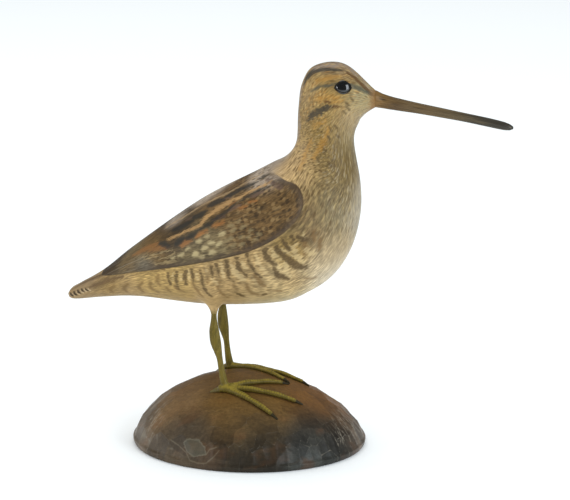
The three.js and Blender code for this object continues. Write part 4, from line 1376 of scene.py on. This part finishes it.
def narrow_cuts(angle, down):
    """The two nearest narrow cuts: distances in their own stretched measure, and which it is."""
    girth = math.pi * (BASE_LENGTH + BASE_WIDTH) / 2
    count = round(girth / STRIP_WIDTH)
    middles = np.array([
        [(i + row % 2 / 2 + 0.5 * (scatter(5 * i + 71 * row) - 0.5)) / count * 2 * math.pi,
         STRIP_LENGTH * (row + 0.4 + 0.5 * (scatter(3 * i + 53 * row + 1) - 0.5))]
        for row in range(3) for i in range(count)
    ])
    round_gap = np.abs((angle[..., None] - middles[:, 0] + math.pi) % (2 * math.pi) - math.pi)
    gaps = np.hypot(round_gap * girth / (2 * math.pi) / STRIP_WIDTH,
                    (down[..., None] - middles[:, 1]) / STRIP_LENGTH)
    nearest = np.sort(gaps, axis=-1)[..., :2]
    return nearest[..., 0], nearest[..., 1] - nearest[..., 0], gaps.argmin(-1)


SCRATCHES = 130


def scratched(angle, down):
    """Distance to the nearest of the long scratches at the two ends of the base."""
    nearest = np.full(down.shape, 9.0)
    radius = (BASE_LENGTH + BASE_WIDTH) / 4
    for k in range(SCRATCHES):
        middle = (k % 2) * math.pi + 1.3 * (scatter(3 * k + 1) - 0.5)
        start = 4 + 27 * scatter(5 * k + 2)
        length = 7 + 14 * scatter(7 * k + 3)
        lean = 0.3 * (scatter(11 * k + 4) - 0.5)
        turn = angle - middle - lean * (down - start) / length
        round_gap = np.abs((turn + math.pi) % (2 * math.pi) - math.pi) * radius
        beyond = np.maximum(np.maximum(start - down, down - start - length), 0)
        nearest = np.minimum(nearest, np.hypot(round_gap, 0.3 * beyond))
    return nearest


# %% The base's mesh
BASE_RINGS = 150
BASE_SIDES = 600
cuts = gouge_cuts()
share = np.linspace(0, 1, BASE_RINGS)
outward = np.sin(np.pi / 2 * (1 - share * 0.985))
angle = np.linspace(0, 2 * np.pi, BASE_SIDES, endpoint=False)
x = outward[:, None] * BASE_LENGTH / 2 * np.cos(angle)
y = outward[:, None] * BASE_WIDTH / 2 * np.sin(angle)
dome = dome_point(x, y)
gaps = np.sqrt(((dome[..., None, :] - cuts) ** 2).sum(-1))
order = np.sort(gaps, axis=-1)
which_cut = gaps.argmin(-1)
hollow = 1 - np.minimum(order[..., 0] / (GOUGE_WIDTH * math.sqrt(0.5)), 1) ** 2
rough = ease(BASE_HEIGHT - dome[..., 2], 0, BASE_HEIGHT * 0.6)
at_rim = ease(share, 0, 0.07)[:, None]
cut_depth = GOUGE_DEPTH * hollow * (0.15 + 0.75 * rough) * at_rim

slope = np.linalg.norm(np.diff(dome, axis=0), axis=-1)
down = np.vstack([np.zeros(BASE_SIDES), np.cumsum(slope, axis=0)])
strip_gap, strip_ridge, which_strip = (
    np.stack(values) for values in zip(*(narrow_cuts(angle, row) for row in down)))
stripped = ease(BASE_HEIGHT - dome[..., 2], BASE_HEIGHT * 0.4, BASE_HEIGHT * 0.7)
stripped *= 0.25 + 0.75 * ease(np.cos(angle - math.radians(-15)), -0.25, 0.25)
strip_hollow = 1 - np.minimum(strip_gap / 0.6, 1) ** 2
cut_depth += STRIP_DEPTH * strip_hollow * stripped * at_rim
dome = dome - dome_normal(x, y) * cut_depth[..., None]

rim_share = np.linspace(1, 0.08, 12)
inset = RIM_UNDERCUT * (1 - np.sqrt(1 - rim_share ** 2))
rim = np.stack([
    (BASE_LENGTH / 2 - inset)[:, None] * np.cos(angle),
    (BASE_WIDTH / 2 - inset)[:, None] * np.sin(angle),
    np.repeat((RIM_HEIGHT * (1 - rim_share))[:, None], BASE_SIDES, axis=1),
], -1)
under_share = np.linspace(0.05, 1, 12)[:-1]
underside = rim[:1] * under_share[:, None, None]
base_rings = np.concatenate([underside, rim, dome])
base, base_points = make_piece("gouged_base", [base_rings])

# %% [markdown]
# The wood is stained dark brown, redder and thinner on top. The dabs also make it darker towards
# the bottom, nearly black low on the near side and in front, and greyer on both ends, partly where
# it is rubbed and partly as a painted sheen. The grain runs lengthwise. As on the bird, broad
# colours come from a few dabs, and the grain, the ridges and the uneven scoops are worked in by
# the material.
# A flake has come off the stain on the near side, with fine cracks round it. Both are drawn in
# side view.

# %% Colours of the stain
def dome_field(name, values, before):
    """Keeps a number per point of the base, given for the dome's rings and carried down the rim."""
    full = np.concatenate([np.full(len(underside) * BASE_SIDES, before),
                           np.tile(values[0], len(rim)), values.ravel(),
                           [before, values[-1].mean()]])
    keep_numbers(base, name, full)


ridge = order[..., 1] - order[..., 0]
dome_field("ridge", ridge, 5.0)
dome_field("strip_ridge", strip_ridge * STRIP_WIDTH, 5.0)
dome_field("scoop", np.array([scatter(7 * k + 3) for k in range(len(cuts))])[which_cut], 0.5)
strip_tone = np.array([scatter(11 * k + 5) for k in range(which_strip.max() + 1)])
dome_field("strip", strip_tone[which_strip], 0.5)
dome_field("roughed", rough, 0.0)
dome_field("stripped", stripped, 0.0)
# Both ends of the base: their lighter lines are partly rubbed wear and partly a painted highlight.
at_side = ease(np.abs(x - 2) / (BASE_LENGTH / 2), 0.62, 0.86)
dome_field("worn_and_highlit", at_side, 0.0)
dome_field("scratch", scratched(angle[None, :], down), 9.0)

CHIP = [(-26.5, 11.2), (-24.2, 12.9), (-18.7, 13.1), (-15.3, 10.2), (-14.6, 7.3), (-20.8, 5.7),
        (-24.4, 7.4)]
chip = inside_outline(base_points[:, [0, 2]], np.array(CHIP))
on_near_side = base_points[:, 1] < 0
keep_numbers(base, "chip", np.where(on_near_side, chip, -9))
FLAKE_CRACKS = [
    [(-33.2, 10.8), (-29.0, 9.3), (-24.5, 7.0), (-22.8, 3.8), (-18.5, 3.2), (-14.4, 3.6),
     (-11.2, 6.4), (-8.4, 9.5)],
    [(-14.6, 7.3), (-13.2, 9.6), (-9.6, 11.0)],
]
cracks = np.min([away_from(base_points[:, [0, 2]], np.array(line)) for line in FLAKE_CRACKS], axis=0)
keep_numbers(base, "cracks", np.where(on_near_side, cracks, 9))

STAIN = [
    # The dabs make the base redder on top and darker towards the bottom, nearly black low on the
    # near side and in front.
    ("crown", (0, 0, 35), 24, (99, 72, 31)),
    ("ahead of the feet", (34, 0, 22), 16, (112, 77, 39)),
    ("near side, above", (4, -30, 25), 13, (97, 74, 40)),
    ("near side, middle", (10, -40, 17), 10, (51, 45, 33)),
    ("near side, below", (4, -48, 6), 12, (37, 32, 24)),
    ("red patch, below", (-12, -46, 6), 5, (74, 59, 44)),
    ("rear, near side, middle", (-26, -36, 16), 10, (59, 50, 38)),
    ("rear, near side, below", (-34, -38, 5), 10, (72, 61, 46)),
    ("front, middle", (44, -22, 18), 13, (34, 33, 28)),
    ("front, below", (40, -34, 8), 14, (48, 50, 47)),
    # The grey of both ends is partly rubbed wear and partly a painted sheen.
    ("front end", (56, 0, 6), 14, (88, 81, 72)),
    ("rear end", (-54, -6, 10), 14, (90, 80, 68)),
    ("rear, above", (-34, -14, 26), 13, (108, 84, 54)),
    ("far side, above", (0, 34, 20), 18, (88, 62, 36)),
    ("far side, below", (0, 47, 6), 22, (52, 44, 34)),
]
coat_of_dabs(base, "stain", base_points, [dab[1:] for dab in STAIN])

# %% The stained wood's recipe
base_wood, tree, shader = new_finish(
    "base_wood", Metallic=0.0, IOR=1.45, Specular_IOR_Level=0.22)
grain = streaks(tree, along_slope(tree, 3, 9, 1.6), detail=4.0, rough=0.6)
brushed = streaks(tree, along_slope(tree, 84, 34, 1.3, 0.7), detail=2.0)
pores = streaks(tree, along_slope(tree, 3, 1.6, 0.7, 0.3), detail=3.0)
clouds = streaks(tree, along_slope(tree, 12, 15, 9, 0.5), detail=3.0)


def worked_in(share, under, laid):
    """One colour worked into another by a share kept on the mesh."""
    return over(tree, field(tree, share), under, laid)


colour = add(tree, "ShaderNodeAttribute", attribute_name="stain").outputs["Color"]
colour = toned(colour, grain, 0.1)
colour = toned(colour, brushed, 0.1)
colour = toned(colour, pores, 0.12)
colour = over(tree, step(tree, clouds, 0.5, 0.75, 0.0, 0.3), colour, (34, 28, 22))
colour = over(tree, step(tree, clouds, 0.48, 0.3, 0.0, 0.16), colour, (112, 72, 42))
colour = worked_in("roughed", colour, toned(colour, field(tree, "scoop"), 0.2, 0, 1))
colour = worked_in("stripped", colour, toned(colour, field(tree, "strip"), 0.24, 0, 1))


def edges(ridges, width):
    """A thin line along the ridges between cuts, broken up by the pores."""
    frayed = ragged(tree, ridges, pores, width)
    return step(tree, frayed, 1.3 * width, 0.6 * width)


# Light lines on the ridges, stronger on both ends: partly rubbed wear and partly a painted
# highlight.
scoop_edges = masked(edges("ridge", 0.45), "roughed")
rubbed_and_highlit_edges = maths(tree, "MULTIPLY", field(tree, "worn_and_highlit"), 0.5)
scoop_edges = maths(tree, "MULTIPLY", scoop_edges, maths(
    tree, "ADD", rubbed_and_highlit_edges, step(tree, clouds, 0.5, 0.62, 0.0, 0.35)))
strip_edges = masked(edges("strip_ridge", 0.35), "stripped")
strip_edges = maths(tree, "MULTIPLY", strip_edges, step(tree, grain, 0.35, 0.6, 0.0, 0.36))
colour = over(tree, scoop_edges, colour, (120, 114, 102))
colour = over(tree, strip_edges, colour, (110, 106, 96))
chip_edge = ragged(tree, "chip", pores, 1.6)
colour = over(tree, step(tree, chip_edge, 0.4, 1.3, 0.0, 0.5), colour, (78, 78, 66))
chip_line = maths(tree, "ABSOLUTE", maths(tree, "SUBTRACT", chip_edge, 0.9), 0)
colour = over(tree, step(tree, chip_line, 0.15, 0.5, 0.3, 0.0), colour, (118, 112, 96))
crack_line = ragged(tree, "cracks", pores, 0.6)
colour = over(tree, step(tree, crack_line, 0.8, 0.35, 0.0, 0.3), colour, (124, 114, 94))
# Painted shade: the wood is darkened close beside the toes.
painted_toe_shade = ragged(tree, "to_toe", pores, 1.2)
colour = over(tree, step(tree, painted_toe_shade, 2.0, 3.6, 0.6, 0.0), colour, (40, 24, 12))
# Light lines along the scratches on both ends: partly rubbed wear and partly a painted highlight.
scratch = ragged(tree, "scratch", pores, 0.8)
rubbed_and_highlit = maths(tree, "MULTIPLY", field(tree, "worn_and_highlit"), step(tree, scratch, 0.45, 0.95, 0.6, 0.0))
rubbed_and_highlit = maths(tree, "MULTIPLY", rubbed_and_highlit, step(tree, grain, 0.35, 0.6, 0.2, 1.0))
colour = over(tree, rubbed_and_highlit, colour, (146, 138, 122))
coat(tree, shader, colour, clouds, 0.36, 0.52)
bump(tree, shader, maths(tree, "ADD", grain, maths(tree, "MULTIPLY", pores, 0.5)), 0.08)
base.data.materials.append(base_wood)

# %% [markdown]
# ## Legs and feet
#
# Each leg is built up round a wire: a slim shank, a thicker hock, a knuckle, and toes that lie
# along the dome. The leg and every toe are made as rings first. A voxel remesh then melts them
# into one skin, which gives the soft webs where the toes meet, just as putty does.

# %% Shapes of the legs
HOCK_THICKNESS = 5.3
LEG_BOW = 1.4
FOOT_SETBACK = 10.4
FOOT_STAGGER = 1.4
FOOT_SPACING = 35.5
FOOT_KNUCKLE = 5.2
TOE_LENGTH = 37.6
TOE_THICKNESS = 2.7
CLAW_LENGTH = 4.2
TOE_JOINTS = 3
TOE_SINK = 0.45
FLESHY_RINGS = 46
SCALE_PITCH = 1.25
SCALE_DEPTH = 0.09
TOES = {
    "right": [("outer", 0.8, -26), ("middle", 1, 2), ("inner", 0.87, 27), ("hind", 0.2, 182)],
    "left": [("outer", 0.8, 14), ("middle", 1.12, -14.5), ("inner", 1, -31), ("hind", 0.2, 168)],
}
LEG_PROFILE = [
    (0, 0, -0.08, -0.05), (0.1, 0.4, 0.1, 0), (0.2, 0.8, 0.7, 0.2), (0.3, 1, 1, 0.3),
    (0.42, 1, 1, 0.25), (0.52, 0.75, 0.5, 0.1), (0.62, 0.5, 0.04, 0), (0.78, 0.45, 0.12, 0.05),
    (0.9, 0.3, 0.35, 0.25), (1, 0, 0.6, 0.5),
]


def shank_rings(top, sole):
    """Rings of the leg from inside the thigh down to the foot."""
    profile = np.array(LEG_PROFILE)
    down = np.linspace(0, 1, 70)
    guide = np.interp(down, profile[:, 0], np.linspace(0, 1, len(profile)))
    _, bow, deep, broad = smooth_through(profile, guide).T
    middles = top + down[:, None] * (sole - top)
    middles[:, 0] -= bow * LEG_BOW
    thickening = HOCK_THICKNESS - LEG_THICKNESS
    half_deep = (LEG_THICKNESS + thickening * deep) / 2
    half_broad = (LEG_THICKNESS + thickening * broad) / 2
    ahead = np.tile([1.0, 0, 0], (len(down), 1))
    left = np.tile([0, 1.0, 0], (len(down), 1))
    return oval_rings(middles, ahead, left, half_deep, half_broad, 28)


def toe_rings(foot, share_of_longest, heading):
    """Rings of one toe along the dome, with pads at its joints and a claw at its tip."""
    length = share_of_longest * TOE_LENGTH
    direction = np.array([math.cos(math.radians(heading)), math.sin(math.radians(heading)), 0])
    fleshy = length - CLAW_LENGTH
    claw_places = fleshy + CLAW_LENGTH * np.linspace(0.06, 1, 12)
    reach = np.concatenate([np.linspace(0, fleshy, FLESHY_RINGS), claw_places])
    claw_share = np.clip((reach - fleshy) / CLAW_LENGTH, 0, 1)
    thick = np.where(claw_share > 0, 0.9 - 0.5 * claw_share, 1)
    share = reach / length
    joint = 1 + 0.08 * np.cos(share * TOE_JOINTS * 2 * np.pi)
    half = TOE_THICKNESS / 2 * thick * joint * (1.02 - 0.2 * share + 0.5 * np.exp(-reach / 9))
    x = foot[0] + direction[0] * reach
    y = foot[1] + direction[1] * reach
    normal = dome_normal(x, y)
    across = np.cross(direction, normal)
    across /= np.linalg.norm(across, axis=1, keepdims=True)
    middles = dome_point(x, y) + normal * (half * 0.9 - TOE_SINK)[:, None]
    return oval_rings(middles, across, normal, half, half * 0.9, 22), middles[-1]


def knuckle_rings(foot):
    """Rings of the flattened ball where the toes meet."""
    normal = dome_normal(foot[0], foot[1])
    across = np.cross([1, 0, 0], normal)
    across /= np.linalg.norm(across)
    ahead = np.cross(normal, across)
    tilt = np.linspace(-np.pi / 2, np.pi / 2, 18)[1:-1]
    half = FOOT_KNUCKLE / 2
    middles = foot + normal * (half * 0.72 * (1 + np.sin(tilt)) - TOE_SINK)[:, None]
    count = len(tilt)
    return oval_rings(middles, np.tile(ahead, (count, 1)), np.tile(across, (count, 1)),
                      half * 1.15 * np.cos(tilt), half * np.cos(tilt), 28)


# %% [markdown]
# The remesh throws away everything stored on the points, so what the paint needs is measured
# afterwards: how near each point is to the tip of a claw, and how high up the leg it is. Fine
# cross grooves, like the scales of a real bird's toes, are also pressed in after it.

# %% Build both legs
VOXEL = 0.28


def melt(piece, name):
    """Melts the shells of a piece into one skin and smooths it slightly."""
    remesh = piece.modifiers.new("melt", "REMESH")
    remesh.mode = "VOXEL"
    remesh.voxel_size = VOXEL * MM
    remesh.use_smooth_shade = True
    relax = piece.modifiers.new("relax", "SMOOTH")
    relax.factor = 0.5
    relax.iterations = 3
    depsgraph = bpy.context.evaluated_depsgraph_get()
    mesh = bpy.data.meshes.new_from_object(piece.evaluated_get(depsgraph))
    piece.modifiers.clear()
    old = piece.data
    piece.data = mesh
    bpy.data.meshes.remove(old)
    mesh.name = name
    return piece


def foot_place(sign):
    """Where the toes of one foot meet, on the plain dome."""
    return dome_point(np.float64(-FOOT_SETBACK - sign * FOOT_STAGGER),
                      np.float64(sign * FOOT_SPACING / 2))


def make_leg(side):
    """One leg with its foot, and the fields that its paint needs."""
    sign = 1 if side == "left" else -1
    foot = foot_place(sign)
    top = np.array([sign * LEG_TOP_STAGGER - LEG_TOP_SETBACK, sign * LEG_TOP_SPACING / 2,
                    THIGH_END + 0.6])
    sole = foot + [0, 0, TOE_THICKNESS / 2]
    toes = [toe_rings(foot, size, heading) for _, size, heading in TOES[side]]
    name = f"painted_leg_{side}"
    leg, _ = make_piece(name, [shank_rings(top, sole), knuckle_rings(foot),
                               *[rings for rings, _ in toes]])
    melt(leg, name)
    points = point_vectors(leg.data) / MM
    near_tip = np.min([np.linalg.norm(points - tip, axis=1) for _, tip in toes[:3]], axis=0)
    from_foot = np.linalg.norm(points[:, :2] - foot[:2], axis=1)
    over_dome = points[:, 2] - dome_height(points[:, 0], points[:, 1])
    on_toe = ease(from_foot, 4, 7) * ease(near_tip, 3, 4.5) * ease(over_dome, 0.8, 1.6)
    scales = 0.5 + 0.5 * np.cos(from_foot * 2 * np.pi / SCALE_PITCH)
    normals = point_vectors(leg.data, "normal")
    points -= normals * (SCALE_DEPTH * scales ** 3 * on_toe)[:, None]
    move_points(leg.data, points * MM)
    behind = ease(foot[0] - points[:, 0], 1.5, 4.5) * (1 - ease(over_dome, 2.5, 5))
    for label, values in (("claw", CLAW_LENGTH - near_tip), ("scales", scales * on_toe),
                          ("over_dome", over_dome), ("behind", behind)):
        keep_numbers(leg, label, values)
    print(f"{name}: {len(leg.data.polygons)} faces after melting")
    return leg


legs = {side: make_leg(side) for side in ("left", "right")}

# %% [markdown]
# Painted shade darkens the wood in the corners between the toes and the base. The toes' own
# middle lines tell how far away each point of the base is.

# %% Painted shade beside the toes
to_toe = np.full(len(base_points), 12.0)
for side, sign in (("left", 1), ("right", -1)):
    for _, size, heading in TOES[side]:
        rings, _ = toe_rings(foot_place(sign), size, heading)
        for middle in rings.mean(axis=1)[:FLESHY_RINGS:2]:
            to_toe = np.minimum(to_toe, np.linalg.norm(base_points - middle, axis=1))
keep_numbers(base, "to_toe", to_toe)

# %% [markdown]
# The legs are painted olive with dark claws and thin dark lines in the grooves between the
# scales. Light and shade are painted in as well: everything that faces up is lighter and yellower,
# everything that faces down is darker, so the upward part of the surface's direction mixes the two.
# The hind toe is greyer.

# %% The legs' paint
leg_paint, tree, shader = new_finish(
    "leg_paint", Metallic=0.0, IOR=1.45, Specular_IOR_Level=0.18)
patches = streaks(tree, along_slope(tree, 80, 5, 1.6))
specks = streaks(tree, along_slope(tree, 70, 1.4, 0.5, 0.2))
height_share = step(tree, field(tree, "over_dome"), 2.0, 9.0)
# Painted light and shade: lighter and yellower where the leg faces up, darker where it faces down.
painted_light_from_above = add(tree, "ShaderNodeSeparateXYZ", {
    0: add(tree, "ShaderNodeNewGeometry").outputs["Normal"]}).outputs["Z"]
colour = over(tree, step(tree, painted_light_from_above, 0.1, 0.95), tuple(paint(84, 72, 24)), (134, 117, 44))
colour = over(tree, maths(tree, "MULTIPLY", height_share, 0.8), colour, (106, 92, 34))
colour = over(tree, step(tree, patches, 0.45, 0.7, 0.0, 0.6), colour, (72, 64, 24))
colour = over(tree, step(tree, specks, 0.55, 0.7, 0.0, 0.35), colour, (146, 130, 70))
colour = over(tree, maths(tree, "MULTIPLY", field(tree, "scales"), 0.4), colour,
              (64, 50, 18))
colour = over(tree, maths(tree, "MULTIPLY", field(tree, "behind"), 0.75), colour, (88, 78, 50))
claw = ragged(tree, "claw", specks, 0.4)
colour = over(tree, step(tree, claw, 0.0, 0.6, 0.0, 0.92), colour, (36, 31, 22))
coat(tree, shader, colour, patches, 0.36, 0.52)
bump(tree, shader, specks, 0.05)
for leg in legs.values():
    leg.data.materials.append(leg_paint)

# %% [markdown]
# ## Joining the looks to the solid model
#
# Every piece stands for one piece of the solid model, whose plain piece is hidden. Nothing on a
# decoy moves, so all of them ride on the one body. No skin may reach past the solid model's box:
# a point that does is pressed back onto it first, and the most that this moves any point is
# printed.

# %% Hand the pieces over
PIECES = [
    (base, "base", "base_wood"),
    (body, "body", "painted_plumage"),
    (bill, "bill", "bill_paint"),
    (eyes["left"], "eye_left", "eye_glass"),
    (eyes["right"], "eye_right", "eye_glass"),
    (legs["left"], "leg_left", "leg_paint"),
    (legs["right"], "leg_right", "leg_paint"),
]
solid_low, solid_high = (np.array(corner) for corner in solid_box)
pressed = 0.0
for piece, node, slot in PIECES:
    places = point_vectors(piece.data)
    inside_box = np.clip(places, solid_low, solid_high)
    pressed = max(pressed, np.abs(inside_box - places).max())
    move_points(piece.data, inside_box)
    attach(piece, "root")
    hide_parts(node)
print(f"pressed back into the solid model's box by at most {pressed / MM:.4f} mm")

# %% [markdown]
# ## Floor, light and camera
#
# The decoy stands on a pale floor in soft light from all round, as in a photographer's tent. The
# camera stands far back with a long lens, so the bird is drawn with little perspective. Its
# direction comes first, because one of the lamps depends on it.

# %% Where the camera looks from
CAMERA_AZIMUTH = math.radians(7)
CAMERA_ELEVATION = math.radians(14.5)
away = Vector((math.sin(CAMERA_AZIMUTH) * math.cos(CAMERA_ELEVATION),
               -math.cos(CAMERA_AZIMUTH) * math.cos(CAMERA_ELEVATION),
               math.sin(CAMERA_ELEVATION)))

# %% [markdown]
# The sky gives most of the light. In the varnish it's dimmed, or the paint would look milky. A
# large soft lamp hangs above and behind, one like a window stands at the front on the right, and
# a weak one on the left lights the rim of the tail and the back. The last and smallest puts the
# spark in the eye. A mirror sends light off at the angle at which it came, so from the camera's
# direction and the slope of the glass one can work out where that lamp has to be.

# %% The floor and the light
floor_mesh = bpy.data.meshes.new("pale_floor")
FLOOR_HALF = 8.0
floor_mesh.from_pydata([(-FLOOR_HALF, -FLOOR_HALF, 0), (FLOOR_HALF, -FLOOR_HALF, 0),
                        (FLOOR_HALF, FLOOR_HALF, 0), (-FLOOR_HALF, FLOOR_HALF, 0)],
                       [], [(0, 1, 2, 3)])
floor = bpy.data.objects.new("pale_floor", floor_mesh)
bpy.context.scene.collection.objects.link(floor)
floor_finish, _, _ = new_finish(
    "pale_paper", Roughness=0.9, Metallic=0.0, Specular_IOR_Level=0.0,
    Base_Color=(0.945, 0.975, 0.985, 1))
floor_mesh.materials.append(floor_finish)

world = bpy.data.worlds.new("studio")
world.use_nodes = True
sky = world.node_tree.nodes["Background"]
sky.inputs["Color"].default_value = (0.97, 0.99, 1.0, 1)
SKY = 0.85
SKY_IN_VARNISH = 0.15
mirrored_ray = add(world.node_tree, "ShaderNodeLightPath").outputs["Is Glossy Ray"]
dimmed = maths(world.node_tree, "MULTIPLY", mirrored_ray, SKY - SKY_IN_VARNISH)
world.node_tree.links.new(maths(world.node_tree, "SUBTRACT", SKY, dimmed), sky.inputs["Strength"])
bpy.context.scene.world = world


def lamp(name, place, target, size, power, tint=(1, 1, 1)):
    """A soft lamp, in metres, as wide and as tall as size says, aimed at a point."""
    light = bpy.data.lights.new(name, "AREA")
    light.shape = "RECTANGLE"
    light.size, light.size_y = size
    light.energy = power
    light.color = tint
    holder = bpy.data.objects.new(name, light)
    holder.location = place
    holder.rotation_euler = (Vector(target) - Vector(place)).to_track_quat("-Z", "Y").to_euler()
    bpy.context.scene.collection.objects.link(holder)
    return holder


SPARK_REACH = 0.82
SPARK_DISTANCE = 1.3
rear_end = -SPARK_REACH * EYE_DIAMETER / 2
nudge = 0.05
lean = (glass_height(abs(rear_end) - nudge) - glass_height(abs(rear_end) + nudge)) / (2 * nudge)
normal = (eye_outward - lean * eye_ahead) * flip
normal /= np.linalg.norm(normal)
to_camera = np.array(away)
near_eye = head_place * flip * MM
spark_place = near_eye + SPARK_DISTANCE * (2 * (normal @ to_camera) * normal - to_camera)
print("the spark's lamp is at", np.round(spark_place, 2))

lamp("soft_top", (-0.3, 0.6, 1.5), (0, 0, 0.08), (1.2, 1.2), 6)
lamp("window", (1.0, -0.76, 0.52), (0.05, 0, 0.15), (0.74, 0.84), 9.5, (0.88, 0.94, 1))
lamp("rim", (-1.2, -0.1, 0.32), (0, 0, 0.14), (0.3, 0.45), 3)
lamp("spark", spark_place, near_eye, (0.26, 0.26), 2.2)

# %% The camera
AIM = Vector((0.017777, 0.00016, 0.097624))
CAMERA_DISTANCE = 1.15
LENS = 150.2

camera_data = bpy.data.cameras.new("camera")
camera_data.lens = LENS
camera_data.sensor_width = 36
camera_data.clip_end = 50
camera = bpy.data.objects.new("camera", camera_data)
camera.location = AIM + CAMERA_DISTANCE * away
camera.rotation_euler = (-away).to_track_quat("-Z", "Y").to_euler()
bpy.context.scene.collection.objects.link(camera)
bpy.context.scene.camera = camera
bpy.context.scene.view_settings.view_transform = "Standard"
print("camera at", [round(value, 3) for value in camera.location])

# %% [markdown]
# ## The solid model's size
#
# The finer skins must not make the decoy bigger than its solid model. The solid model's box is
# printed at the end.

# %% Print the solid model's box
bpy.context.view_layer.update()
print("solid model:", np.round(solid_box, 5).tolist())
